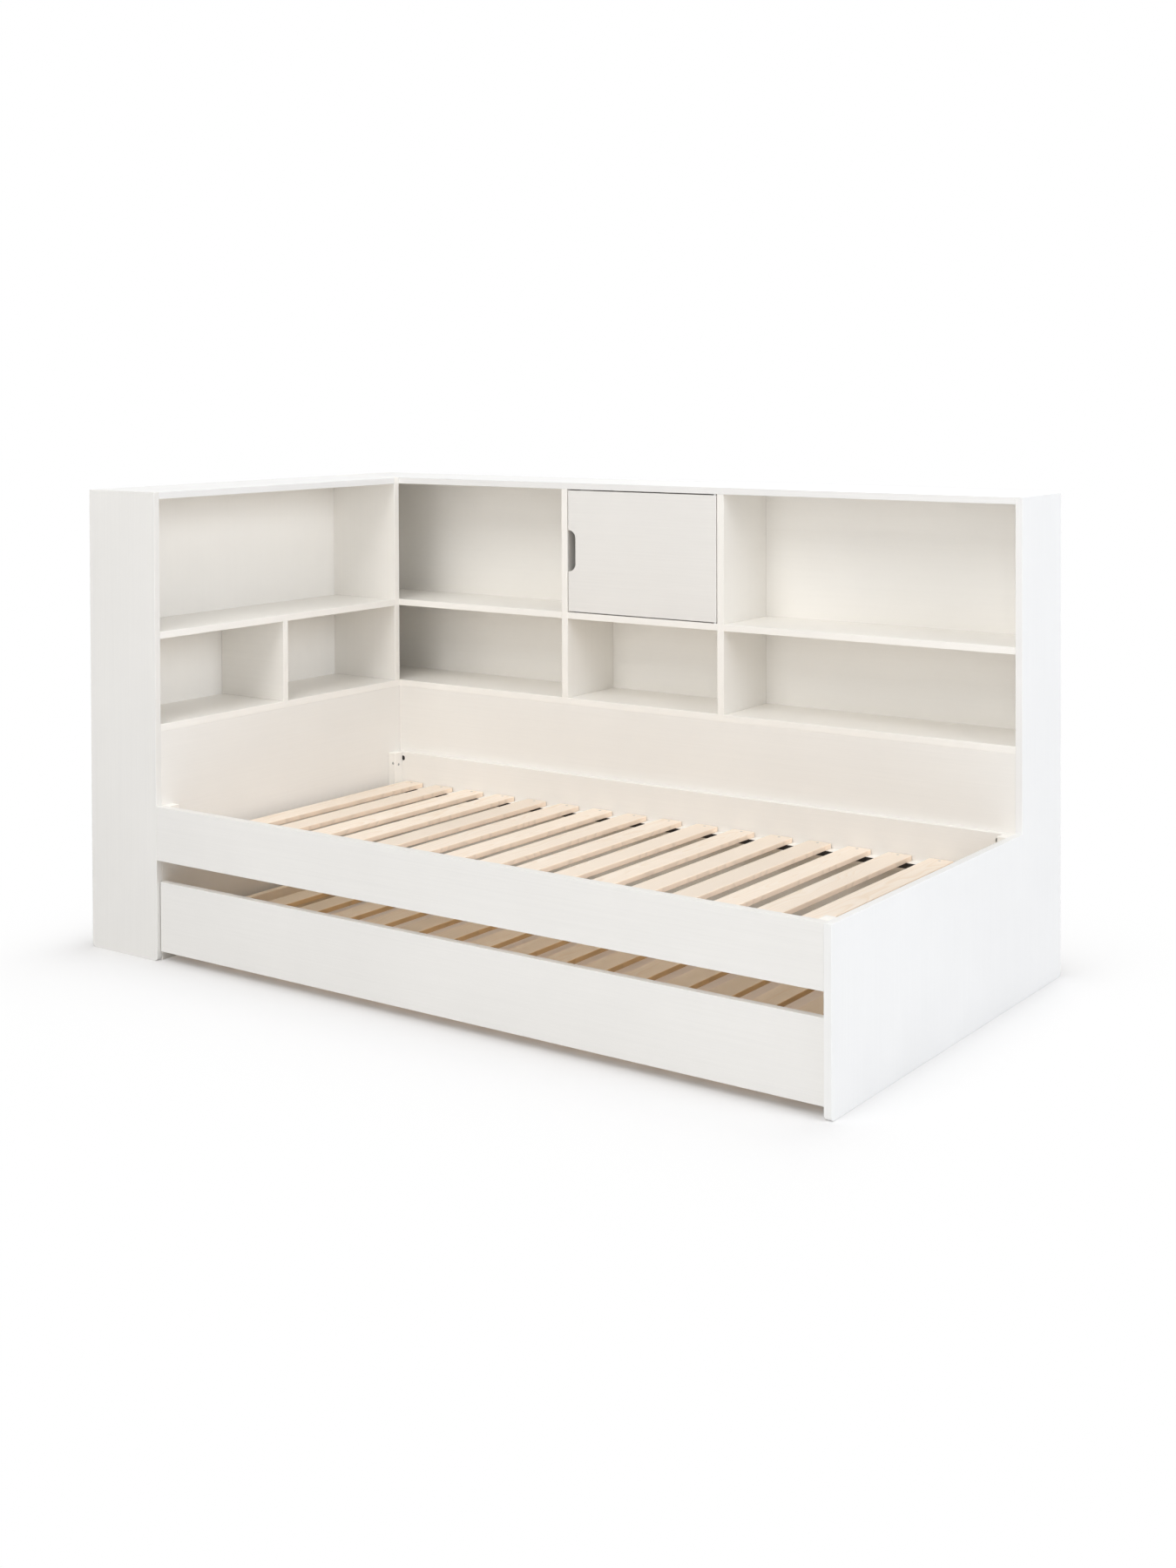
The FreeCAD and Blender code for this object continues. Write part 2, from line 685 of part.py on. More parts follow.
def make_rollers():
    """Four plastic rollers on stub axles, each axle riveted in a steel bracket."""
    brackets = []
    axles = []
    radius = roller_diameter / 2
    for place in roller_places():
        name, face, inward, y = place
        x = sorted((face, face + inward * bracket_thickness))
        low = radius - bracket_below_axle
        plate = block(x, (y - bracket_width / 2, y + bracket_width / 2),
                      (low, low + bracket_height))
        plate = plate.makeFillet(bracket_thickness, vertical_edges(plate, X))
        own_holes = driven_holes(bracket_screw_heads(place), bracket_screw_length)
        axle_seat = hole(point(face, y, radius), X * inward, axle_diameter / 2,
                         bracket_thickness)
        brackets.append(plate.cut(own_holes + [axle_seat]))

        shaft_length = bracket_thickness + 2 * roller_side_gap + roller_width
        shaft = hole(point(face, y, radius), X * inward, axle_diameter / 2, shaft_length)
        head = hole(point(face + inward * shaft_length, y, radius), X * inward,
                    axle_head_diameter / 2, axle_head)
        axles.append(shaft.fuse(head).removeSplitter())

        start = point(face + inward * (bracket_thickness + roller_side_gap), y, radius)
        wheel = Part.makeCylinder(radius, roller_width, start, X * inward)
        rims = [edge for edge in wheel.Edges if edge.Closed]
        wheel = wheel.makeFillet(roller_rim, rims)
        bore = hole(start, X * inward, axle_diameter / 2 + axle_running_gap, roller_width)
        nodes["roller_%s" % name] = wheel.cut(bore)
    nodes["roller_brackets"] = Part.makeCompound(brackets)
    nodes["roller_axles"] = Part.makeCompound(axles)


# ------------------------------------------------------------------ build and write
make_headboard()
make_rear_bookcase()
make_end_panel()
make_rails()
make_ledgers()
make_corner_blocks()
make_bed_slats()
make_cam_fittings()
make_bed_screws()
make_door()
make_pivots()
make_catch()
make_trundle_box()
make_trundle_ledgers()
make_trundle_slats()
make_trundle_screws()
make_rollers()

os.makedirs("parts", exist_ok=True)
for name, shape in nodes.items():
    shape.translate(-origin)
    shape.exportStep("parts/%s.step" % name)
    print("%-26s solids %3d  valid %s  volume %10.0f mm3"
          % (name, len(shape.Solids), shape.isValid(), shape.Volume))
print(len(nodes), "nodes")
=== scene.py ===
# %% [markdown]
# # A corner bookcase bed with a roll-out trundle
#
# This lesson dresses a bed that was first built as solid boards, one solid for each real piece.
# The boards already have their true size and place, so nothing is moved here. What Blender adds is
# what a camera sees: white lacquer over board, planed pine, zinc-plated screws, moulded rollers,
# and the soft light of a studio.

import math

import bmesh
import bpy
from mathutils import Matrix, Vector


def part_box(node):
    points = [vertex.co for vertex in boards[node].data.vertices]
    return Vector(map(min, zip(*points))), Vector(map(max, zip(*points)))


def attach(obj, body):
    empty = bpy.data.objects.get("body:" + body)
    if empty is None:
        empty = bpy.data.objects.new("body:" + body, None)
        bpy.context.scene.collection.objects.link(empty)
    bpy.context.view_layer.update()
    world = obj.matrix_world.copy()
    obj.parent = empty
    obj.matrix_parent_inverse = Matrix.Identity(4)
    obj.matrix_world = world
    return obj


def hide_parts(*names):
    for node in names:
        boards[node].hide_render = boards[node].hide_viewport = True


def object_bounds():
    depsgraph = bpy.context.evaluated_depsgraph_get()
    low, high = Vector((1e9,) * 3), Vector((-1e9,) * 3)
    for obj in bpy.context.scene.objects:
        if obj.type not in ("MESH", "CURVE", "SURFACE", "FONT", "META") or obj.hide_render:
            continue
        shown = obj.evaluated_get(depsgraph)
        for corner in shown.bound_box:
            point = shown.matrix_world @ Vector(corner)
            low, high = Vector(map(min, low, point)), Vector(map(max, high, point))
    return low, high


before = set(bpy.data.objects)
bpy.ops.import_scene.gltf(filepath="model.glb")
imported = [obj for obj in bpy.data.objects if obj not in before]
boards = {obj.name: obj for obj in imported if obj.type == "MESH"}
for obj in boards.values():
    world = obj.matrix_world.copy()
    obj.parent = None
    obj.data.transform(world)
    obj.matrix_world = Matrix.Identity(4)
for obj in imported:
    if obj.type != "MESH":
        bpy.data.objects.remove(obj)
box_of_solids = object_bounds()

# %% [markdown]
# ## Camera
#
# The photographer stood in front of the bed and well to its right, with the camera a little above
# the bookcases and a normal lens. The verticals of the bed stay upright in the picture, so the
# camera looked almost level and the lens was shifted down to bring the bed to the middle of the
# frame. A camera is easiest to set from three directions: where it looks, its right and its up.

# %% Camera
camera_place = Vector((2.9432, -4.0765, 1.4648))
turn_left = 0.62104
tilt_down = 0.01855
lean = -0.00365

looking = Vector((-math.sin(turn_left) * math.cos(tilt_down),
                  math.cos(turn_left) * math.cos(tilt_down), -math.sin(tilt_down)))
level_right = Vector((math.cos(turn_left), math.sin(turn_left), 0))
level_up = level_right.cross(looking)
camera_right = level_right * math.cos(lean) + level_up * math.sin(lean)
camera_up = -level_right * math.sin(lean) + level_up * math.cos(lean)

lens = bpy.data.cameras.new("studio_camera")
lens.sensor_width = 36
lens.lens = 45.68
lens.shift_x = 0.0120
lens.shift_y = -0.2316
lens.clip_end = 100
camera = bpy.data.objects.new("studio_camera", lens)
turn = Matrix((camera_right, camera_up, -looking)).transposed().to_4x4()
camera.matrix_world = Matrix.Translation(camera_place) @ turn
bpy.context.scene.collection.objects.link(camera)
bpy.context.scene.camera = camera
print("camera looks along", [round(part, 3) for part in looking])

# %% [markdown]
# ## Small helpers for node trees
#
# Every finish below is a graph of nodes. Two helpers keep the graphs short to write: one adds a
# node and fills in its unlinked inputs, the other makes a group with named inputs and outputs, so
# that a pattern can be built once and used in several finishes with other values.

# %% Node helpers
def add(tree, kind, inputs=None, **settings):
    """Adds a node. An input is a value, or a socket to link from."""
    node = tree.nodes.new(kind)
    for key, value in settings.items():
        setattr(node, key, value)
    for key, value in (inputs or {}).items():
        if isinstance(value, bpy.types.NodeSocket):
            tree.links.new(value, node.inputs[key])
        else:
            node.inputs[key].default_value = value
    return node


def math_node(tree, operation, *values):
    node = add(tree, "ShaderNodeMath", dict(enumerate(values)), operation=operation)
    return node.outputs[0]


def colour_mix(tree, factor, first, second):
    """A colour Mix node keeps its colour sockets behind the ones for numbers and vectors."""
    node = add(tree, "ShaderNodeMix", {0: factor, 6: first, 7: second}, data_type="RGBA")
    return node.outputs[2]


def new_group(name, kind, sockets):
    """sockets: (name, "INPUT" or "OUTPUT", socket type, default or None)."""
    group = bpy.data.node_groups.new(name, kind)
    for label, way, socket_type, default in sockets:
        socket = group.interface.new_socket(name=label, in_out=way, socket_type=socket_type)
        if default is not None:
            socket.default_value = default
    return group, group.nodes.new("NodeGroupInput"), group.nodes.new("NodeGroupOutput")


def colour_steps(tree, factor, steps):
    """Colour ramp from (position, colour) pairs."""
    ramp = add(tree, "ShaderNodeValToRGB", {"Fac": factor})
    elements = ramp.color_ramp.elements
    while len(elements) < len(steps):
        elements.new(0.5)
    for element, (position, colour) in zip(elements, steps):
        element.position = position
        element.color = (*colour, 1)
    return ramp.outputs["Color"]


print("node helpers ready")

# %% [markdown]
# ## Lacquer
#
# The boards are painted white. Sprayed lacquer is never a flat colour: it has a fine ripple like
# orange peel, a faint print of the wood fibres below it that runs along the board, and slow
# changes of tone. A noise that is stretched along one axis gives the fibres. The same group serves
# every board, because a Mapping node ahead of it turns the pattern along the board's length.

# %% Lacquer group
FIBRE_CYCLES = (3.0, 260.0, 260.0)  # a metre: few along the board, many across it
PEEL_CYCLES = 420.0
CLOUD_CYCLES = 3.2
PEEL_SHARE = 0.35                   # of the height, next to the fibres' own

lacquer_group, given, result = new_group("lacquer_film", "ShaderNodeTree", [
    ("Vector", "INPUT", "NodeSocketVector", None),
    ("Colour", "INPUT", "NodeSocketColor", (0.86, 0.84, 0.8, 1)),
    ("Fibres", "INPUT", "NodeSocketFloat", 0.5),
    ("Gloss", "INPUT", "NodeSocketFloat", 0.5),
    ("Colour", "OUTPUT", "NodeSocketColor", None),
    ("Roughness", "OUTPUT", "NodeSocketFloat", None),
    ("Height", "OUTPUT", "NodeSocketFloat", None),
])
stretched = add(lacquer_group, "ShaderNodeVectorMath",
                {0: given.outputs["Vector"], 1: FIBRE_CYCLES}, operation="MULTIPLY")
fibres = add(lacquer_group, "ShaderNodeTexNoise",
             {"Vector": stretched.outputs[0], "Scale": 1.0, "Detail": 4.0, "Roughness": 0.6})
peel = add(lacquer_group, "ShaderNodeTexNoise",
           {"Vector": given.outputs["Vector"], "Scale": PEEL_CYCLES, "Detail": 1.0})
cloud = add(lacquer_group, "ShaderNodeTexNoise",
            {"Vector": given.outputs["Vector"], "Scale": CLOUD_CYCLES, "Detail": 3.0})
fibre_tone = add(lacquer_group, "ShaderNodeMapRange",
                 {"Value": fibres.outputs["Fac"], "From Min": 0.3, "From Max": 0.7,
                  "To Min": 0.965, "To Max": 1.02})
cloud_tone = add(lacquer_group, "ShaderNodeMapRange",
                 {"Value": cloud.outputs["Fac"], "From Min": 0.3, "From Max": 0.7,
                  "To Min": 0.985, "To Max": 1.015})
fibre_share = add(lacquer_group, "ShaderNodeMix",
                  {"Factor": given.outputs["Fibres"], "A": 1.0, "B": fibre_tone.outputs[0]})
tone = math_node(lacquer_group, "MULTIPLY", fibre_share.outputs[0], cloud_tone.outputs[0])
tinted = add(lacquer_group, "ShaderNodeVectorMath",
             {0: given.outputs["Colour"], "Scale": tone}, operation="SCALE")
rough = add(lacquer_group, "ShaderNodeMapRange",
            {"Value": cloud.outputs["Fac"], "From Min": 0.3, "From Max": 0.7,
             "To Min": 0.04, "To Max": -0.04})
rough_sum = math_node(lacquer_group, "ADD", rough.outputs[0], given.outputs["Gloss"])
fibre_height = math_node(lacquer_group, "MULTIPLY", fibres.outputs["Fac"],
                         given.outputs["Fibres"])
peel_height = math_node(lacquer_group, "MULTIPLY", peel.outputs["Fac"], PEEL_SHARE)
height = math_node(lacquer_group, "ADD", fibre_height, peel_height)
lacquer_group.links.new(tinted.outputs[0], result.inputs["Colour"])
lacquer_group.links.new(rough_sum, result.inputs["Roughness"])
lacquer_group.links.new(height, result.inputs["Height"])
print("lacquer group:", len(lacquer_group.nodes), "nodes")

# %% [markdown]
# ## Six close whites, which paint light and shade
#
# A finish is a group's outputs wired to a Principled BSDF. Height goes through a Bump node, whose
# Distance is in metres: lacquer ripples are a few hundredths of a millimetre deep.
#
# The real boards look like one white. With one tone, these lamps made the cubbies darker, next to
# the fronts, than the photo has them. So there are six tones, fitted to the photo, and their
# differences are painted light and shade: fronts, and end panel and tops, darker; shelves and
# dividers, and back sheets, paler; lower panels pinkish, for the warm light that the slats throw
# on them; and a tan one in the trundle, for the warm shade under the bed.
# Each is made three times, with its fibres along X, along Y and along Z.

# %% Finishes from the lacquer group
TURN_ALONG = {"X": (0, 0, 0), "Y": (0, 0, math.pi / 2), "Z": (0, math.pi / 2, 0)}
LACQUER_RIPPLE = 0.00006
LACQUER_COAT = 0.12
COAT_ROUGHNESS = 0.25


def new_finish(name):
    """A material with a bare Principled BSDF, and the socket that gives the place on the piece."""
    finish = bpy.data.materials.new(name)
    finish.use_nodes = True
    tree = finish.node_tree
    tree.nodes.clear()
    surface = add(tree, "ShaderNodeBsdfPrincipled")
    add(tree, "ShaderNodeOutputMaterial", {"Surface": surface.outputs[0]})
    where = add(tree, "ShaderNodeTexCoord")
    return finish, tree, surface, where.outputs["Object"]


def wire(tree, pattern, surface, depth):
    """Links a pattern group's outputs to the surface, its height as a bump this deep."""
    bump = add(tree, "ShaderNodeBump", {"Height": pattern.outputs["Height"], "Distance": depth,
                                        "Strength": 1.0})
    tree.links.new(pattern.outputs["Colour"], surface.inputs["Base Color"])
    tree.links.new(pattern.outputs["Roughness"], surface.inputs["Roughness"])
    tree.links.new(bump.outputs[0], surface.inputs["Normal"])


def lacquer(name, along, colour, fibres, gloss):
    """White lacquer whose fibres run along X, Y or Z. gloss is the middle of its roughness."""
    finish, tree, surface, place = new_finish(name)
    turned = add(tree, "ShaderNodeMapping", {"Vector": place, "Rotation": TURN_ALONG[along]})
    film = add(tree, "ShaderNodeGroup", node_tree=lacquer_group)
    tree.links.new(turned.outputs[0], film.inputs["Vector"])
    film.inputs["Colour"].default_value = (*colour, 1)
    film.inputs["Fibres"].default_value = fibres
    film.inputs["Gloss"].default_value = gloss
    wire(tree, film, surface, LACQUER_RIPPLE)
    surface.inputs["Coat Weight"].default_value = LACQUER_COAT
    surface.inputs["Coat Roughness"].default_value = COAT_ROUGHNESS
    return finish


def white_in_three(name, colour, fibres, gloss):
    """The same lacquer with its fibres along X, along Y and along Z."""
    return {way: lacquer(name + "_" + way.lower(), way, colour, fibres, gloss) for way in "XYZ"}


# Painted light and shade: each tone below is the one white made paler, darker or warmer for the
# light on those boards.
SHELF_TONE_PAINTED_LIGHT = ((0.952, 0.925, 0.875), 0.4, 0.40)
front_white_painted_shade = white_in_three("front_lacquer", (0.838, 0.82, 0.787), 0.5, 0.42)
end_white_painted_shade = white_in_three("end_lacquer", (0.866, 0.858, 0.842), 0.5, 0.42)
shelf_white_painted_light = white_in_three("shelf_lacquer", *SHELF_TONE_PAINTED_LIGHT)
panel_white_painted_warm_light = white_in_three("panel_lacquer", (0.88, 0.855, 0.812), 0.4, 0.50)
# The trundle box's tan is painted warm shade, for the box under the bed.
box_tan_painted_warm_shade = white_in_three("box_lacquer", (0.97, 0.83, 0.65), 0.4, 0.45)
sheet_white_painted_light = white_in_three("painted_sheet_with_painted_light", (0.95, 0.922, 0.87), 0.25, 0.55)
print("lacquers:", len([m for m in bpy.data.materials if "_lacquer_" in m.name]))

# %% [markdown]
# ## Pine
#
# A slat is sawn along the trunk, so its face cuts the growth rings at a flat angle: dark and pale
# lines run along the slat, close together at its sides and wider in the middle. Rings are circles
# round the trunk's centre, so the distance to a centre line below the slat gives them, and slow
# noise along the slat bends them. Each slat comes from another tree, so its number, found from its
# place in the row, moves the centre and the tone. The sawn edges look warmer than the faces in the
# photo, so a mask close to the slat's two sides mixes in a colour of their own. That colour is
# partly the edge grain's own tone and partly painted light and shade on the slats' sides.

# %% Pine group
TREES_APART = 37.0                       # metres along the grain, times a slat's own luck
RING_DRIFT = 0.05                        # metres that the slow noise bends the rings
CENTRE_SPREAD, CENTRE_START = 0.08, -0.01
BELOW_SPREAD, BELOW_START = 0.06, 0.012  # how deep below the slat the trunk's centre lies
FINE_CYCLES = (230.0, 9.0, 900.0)
FINE_SHARE, LATE_SHARE, KNOT_SHARE = 0.35, 0.45, 0.7
EDGE_START, EDGE_END = 0.0004, 0.0016    # metres in from the slat's side

pine_group, given, result = new_group("planed_pine", "ShaderNodeTree", [
    ("Vector", "INPUT", "NodeSocketVector", None),
    ("Row Start", "INPUT", "NodeSocketFloat", 0.0),
    ("Row Pitch", "INPUT", "NodeSocketFloat", 0.1105),
    ("Pale", "INPUT", "NodeSocketColor", (0.8, 0.62, 0.44, 1)),
    ("Dark", "INPUT", "NodeSocketColor", (0.62, 0.4, 0.22, 1)),
    ("Ring Width", "INPUT", "NodeSocketFloat", 0.0032),
    ("Slat Width", "INPUT", "NodeSocketFloat", 0.065),
    ("Sawn Edge And Side Shade", "INPUT", "NodeSocketColor", (0.94, 0.79, 0.63, 1)),
    ("Colour", "OUTPUT", "NodeSocketColor", None),
    ("Roughness", "OUTPUT", "NodeSocketFloat", None),
    ("Height", "OUTPUT", "NodeSocketFloat", None),
])
g = pine_group
split = add(g, "ShaderNodeSeparateXYZ", {0: given.outputs["Vector"]})
from_start = math_node(g, "SUBTRACT", split.outputs[0], given.outputs["Row Start"])
in_pitches = math_node(g, "DIVIDE", from_start, given.outputs["Row Pitch"])
number = math_node(g, "FLOOR", in_pitches)
luck = add(g, "ShaderNodeTexWhiteNoise", {"W": number}, noise_dimensions="1D")
lucks = add(g, "ShaderNodeSeparateColor", {0: luck.outputs["Color"]})
across = math_node(g, "SUBTRACT", from_start,
                   math_node(g, "MULTIPLY", number, given.outputs["Row Pitch"]))
far_along = math_node(g, "MULTIPLY_ADD", lucks.outputs[1], TREES_APART, split.outputs[1])
drift_place = add(g, "ShaderNodeCombineXYZ", {0: math_node(g, "MULTIPLY", across, 4.0),
                                              1: far_along, 2: split.outputs[2]})
drift = add(g, "ShaderNodeTexNoise", {"Vector": drift_place.outputs[0], "Scale": 2.6,
                                      "Detail": 2.0})
drift_x = math_node(g, "MULTIPLY", math_node(g, "SUBTRACT", drift.outputs["Fac"], 0.5),
                    RING_DRIFT)
centre = math_node(g, "MULTIPLY_ADD", lucks.outputs[0], CENTRE_SPREAD, CENTRE_START)
to_side = math_node(g, "ADD", math_node(g, "SUBTRACT", across, centre), drift_x)
below = math_node(g, "MULTIPLY_ADD", lucks.outputs[2], BELOW_SPREAD, BELOW_START)
down = math_node(g, "ADD", below, math_node(g, "MULTIPLY", drift_x, 0.6))
radius = math_node(g, "SQRT", math_node(g, "ADD", math_node(g, "MULTIPLY", to_side, to_side),
                                        math_node(g, "MULTIPLY", down, down)))
rings = math_node(g, "FRACT", math_node(g, "DIVIDE", radius, given.outputs["Ring Width"]))
late_wood = colour_steps(g, rings, [(0.0, (0, 0, 0)), (0.55, (0.25, 0.25, 0.25)),
                                    (0.86, (1, 1, 1)), (1.0, (0, 0, 0))])
fine_place = add(g, "ShaderNodeVectorMath", {0: drift_place.outputs[0], 1: FINE_CYCLES},
                 operation="MULTIPLY")
fine = add(g, "ShaderNodeTexNoise", {"Vector": fine_place.outputs[0], "Scale": 1.0,
                                     "Detail": 3.0})
knot_place = add(g, "ShaderNodeCombineXYZ", {0: math_node(g, "MULTIPLY", across, 5.0),
                                             1: math_node(g, "MULTIPLY", far_along, 3.1),
                                             2: number})
knots = add(g, "ShaderNodeTexVoronoi", {"Vector": knot_place.outputs[0], "Scale": 1.0})
knot = add(g, "ShaderNodeMapRange", {"Value": knots.outputs["Distance"], "From Min": 0.02,
                                     "From Max": 0.06, "To Min": 1.0, "To Max": 0.0})
grain = math_node(g, "MULTIPLY_ADD", fine.outputs["Fac"], FINE_SHARE,
                  math_node(g, "MULTIPLY", late_wood, LATE_SHARE))
knotty = math_node(g, "MULTIPLY_ADD", knot.outputs[0], KNOT_SHARE, grain)
darkness = math_node(g, "MINIMUM", knotty, 1.0)
mixed = colour_mix(g, darkness, given.outputs["Pale"], given.outputs["Dark"])
tree_tone = add(g, "ShaderNodeMapRange", {"Value": luck.outputs["Value"],
                                          "To Min": 0.93, "To Max": 1.05})
toned = add(g, "ShaderNodeVectorMath", {0: mixed, "Scale": tree_tone.outputs[0]},
            operation="SCALE")
half_gap = math_node(g, "MULTIPLY", math_node(g, "SUBTRACT", given.outputs["Row Pitch"],
                                              given.outputs["Slat Width"]), 0.5)
from_left = math_node(g, "SUBTRACT", across, half_gap)
from_right = math_node(g, "SUBTRACT", given.outputs["Slat Width"], from_left)
at_edge = add(g, "ShaderNodeMapRange", {"Value": math_node(g, "MINIMUM", from_left, from_right),
                                        "From Min": EDGE_START, "From Max": EDGE_END,
                                        "To Min": 1.0, "To Max": 0.0})
# The sides' colour is partly the edge grain's own tone, partly painted light and shade.
edge_grain_and_side_shade = add(g, "ShaderNodeVectorMath",
                {0: given.outputs["Sawn Edge And Side Shade"],
                 "Scale": math_node(g, "MULTIPLY_ADD", grain, -0.25, 1.08)}, operation="SCALE")
finished = colour_mix(g, at_edge.outputs[0], toned.outputs[0], edge_grain_and_side_shade.outputs[0])
g.links.new(finished, result.inputs["Colour"])
g.links.new(math_node(g, "MULTIPLY_ADD", darkness, -0.12, 0.62), result.inputs["Roughness"])
g.links.new(math_node(g, "MULTIPLY_ADD", fine.outputs["Fac"], 0.6,
                      math_node(g, "MULTIPLY", late_wood, 0.4)), result.inputs["Height"])
print("pine group:", len(g.nodes), "nodes")

# %% [markdown]
# The bed's slats and the trundle's lie in two rows. Each row tells the group where it starts and
# how far apart its slats are, both read from the solids, so that every slat gets its own tree.

# %% Pine finishes
PLANED_DEPTH = 0.0001
PINE_SHEEN = 0.35
TRUNDLE_SLATS = 16

low_1, high_1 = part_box("bed_slat_01")
slat_wide = high_1[0] - low_1[0]
slat_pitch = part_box("bed_slat_02")[0][0] - low_1[0]
slat_gap = slat_pitch - slat_wide
print("slat pitch %.1f mm, gap %.1f mm" % (slat_pitch * 1000, slat_gap * 1000))


def pine(name, first, pitch, pale, dark, edge):
    """Pine for a row of slats. The first slat's cell starts half a gap before its edge."""
    finish, tree, surface, place = new_finish(name)
    wood = add(tree, "ShaderNodeGroup", node_tree=pine_group)
    tree.links.new(place, wood.inputs["Vector"])
    wood.inputs["Row Start"].default_value = first
    wood.inputs["Row Pitch"].default_value = pitch
    wood.inputs["Pale"].default_value = (*pale, 1)
    wood.inputs["Dark"].default_value = (*dark, 1)
    wood.inputs["Sawn Edge And Side Shade"].default_value = (*edge, 1)
    wood.inputs["Slat Width"].default_value = slat_wide
    wire(tree, wood, surface, PLANED_DEPTH)
    surface.inputs["Specular IOR Level"].default_value = PINE_SHEEN
    return finish


low_t, high_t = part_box("trundle_slats")
trundle_pitch = (high_t[0] - low_t[0] - slat_wide) / (TRUNDLE_SLATS - 1)
bed_pine = pine("bed_slat_pine", low_1[0] - slat_gap / 2, slat_pitch,
                (0.95, 0.855, 0.75), (0.84, 0.67, 0.50), (0.97, 0.80, 0.64))
# The trundle's pine is warmer than the bed's: painted warm shade, for the slats under the bed.
trundle_pine_painted_shade = pine("trundle_slat_pine_painted_shade", low_t[0] - (trundle_pitch - slat_wide) / 2,
                    trundle_pitch, (0.98, 0.86, 0.69), (0.88, 0.67, 0.46), (0.88, 0.62, 0.34))
print("trundle slat pitch %.1f mm" % (trundle_pitch * 1000))

# %% [markdown]
# ## The ledgers' dark band
#
# In the gaps between the slats, just below their rear ends, the photo shows short black marks. The
# photo doesn't tell whether they are a strip or strap of the bed or only a deep shadow. This file
# guesses at a thin dark strip and paints it: the ledgers get the shelves' lacquer and a black band
# at the top of their inner faces. It is a weak guess. It gives marks in the right place in the
# right half of the bed, but smaller than the photo's, and only grey ones in the left half. The
# solids have no strip. The front ledger isn't seen, and gets the same band. A mask from the place
# on the piece makes it: close to the inner face, and close to the top.

# %% Ledger finish
LEDGER_WIDTH = 0.034
BAND_HEIGHT = 0.014
BAND_BLACK = (0.02, 0.019, 0.018, 1)
FACE_MARGIN = 0.0006
ledger_finish = lacquer("ledger_lacquer", "X", *SHELF_TONE_PAINTED_LIGHT)
tree = ledger_finish.node_tree
coat = tree.nodes["Principled BSDF"].inputs["Base Color"]
low_l, high_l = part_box("slat_ledgers")
spot = add(tree, "ShaderNodeSeparateXYZ", {0: add(tree, "ShaderNodeTexCoord").outputs["Object"]})
off_middle = math_node(tree, "ABSOLUTE", math_node(tree, "SUBTRACT", spot.outputs[1],
                                                   (low_l[1] + high_l[1]) / 2))
inner_face = (high_l[1] - low_l[1]) / 2 - LEDGER_WIDTH
on_face = math_node(tree, "LESS_THAN", off_middle, inner_face + FACE_MARGIN)
near_top = math_node(tree, "GREATER_THAN", spot.outputs[2], high_l[2] - BAND_HEIGHT)
band = math_node(tree, "MULTIPLY", on_face, near_top)
tree.links.new(colour_mix(tree, band, coat.links[0].from_socket, BAND_BLACK), coat)
print("ledger band %.0f mm high, inner faces %.0f mm apart" % (BAND_HEIGHT * 1000,
                                                              inner_face * 2000))

# %% [markdown]
# ## Metal and plastic
#
# Zinc plating is a soft grey with slightly blotchy gloss. The rollers and the catch are moulded:
# one colour, with a fine spark-eroded texture that the mould leaves. The one cam that shows in the
# photo is a nearly black disc, so the cams are dark and don't mirror as bare metal does. Their
# near-black is partly dark zinc and partly painted shade, for the recess that each cam sits in.
# One small group gives the blotches and the texture for all of them.

# %% Small hardware finishes
speckle_group, given, result = new_group("speckle", "ShaderNodeTree", [
    ("Vector", "INPUT", "NodeSocketVector", None),
    ("Colour", "INPUT", "NodeSocketColor", (0.5, 0.5, 0.5, 1)),
    ("Size", "INPUT", "NodeSocketFloat", 600.0),
    ("Gloss", "INPUT", "NodeSocketFloat", 0.4),
    ("Spread", "INPUT", "NodeSocketFloat", 0.15),
    ("Colour", "OUTPUT", "NodeSocketColor", None),
    ("Roughness", "OUTPUT", "NodeSocketFloat", None),
    ("Height", "OUTPUT", "NodeSocketFloat", None),
])
specks = add(speckle_group, "ShaderNodeTexNoise",
             {"Vector": given.outputs["Vector"], "Scale": given.outputs["Size"],
              "Detail": 2.0})
spread = math_node(speckle_group, "MULTIPLY",
                   math_node(speckle_group, "SUBTRACT", specks.outputs["Fac"], 0.5),
                   given.outputs["Spread"])
shade = add(speckle_group, "ShaderNodeVectorMath",
            {0: given.outputs["Colour"], "Scale": math_node(speckle_group, "ADD", spread, 1.0)},
            operation="SCALE")
speckle_group.links.new(shade.outputs[0], result.inputs["Colour"])
speckle_group.links.new(math_node(speckle_group, "ADD", given.outputs["Gloss"], spread),
                        result.inputs["Roughness"])
speckle_group.links.new(specks.outputs["Fac"], result.inputs["Height"])


SPECK_DEPTH = 0.00003
SPECK_SPREAD = 0.3


def speckled(name, colour, size, gloss, metallic):
    finish, tree, surface, place = new_finish(name)
    pattern = add(tree, "ShaderNodeGroup", node_tree=speckle_group)
    tree.links.new(place, pattern.inputs["Vector"])
    pattern.inputs["Colour"].default_value = (*colour, 1)
    pattern.inputs["Size"].default_value = size
    pattern.inputs["Gloss"].default_value = gloss
    pattern.inputs["Spread"].default_value = SPECK_SPREAD
    wire(tree, pattern, surface, SPECK_DEPTH)
    surface.inputs["Metallic"].default_value = metallic
    return finish


zinc_plate = speckled("zinc_plating", (0.56, 0.56, 0.55), 900.0, 0.36, 1.0)
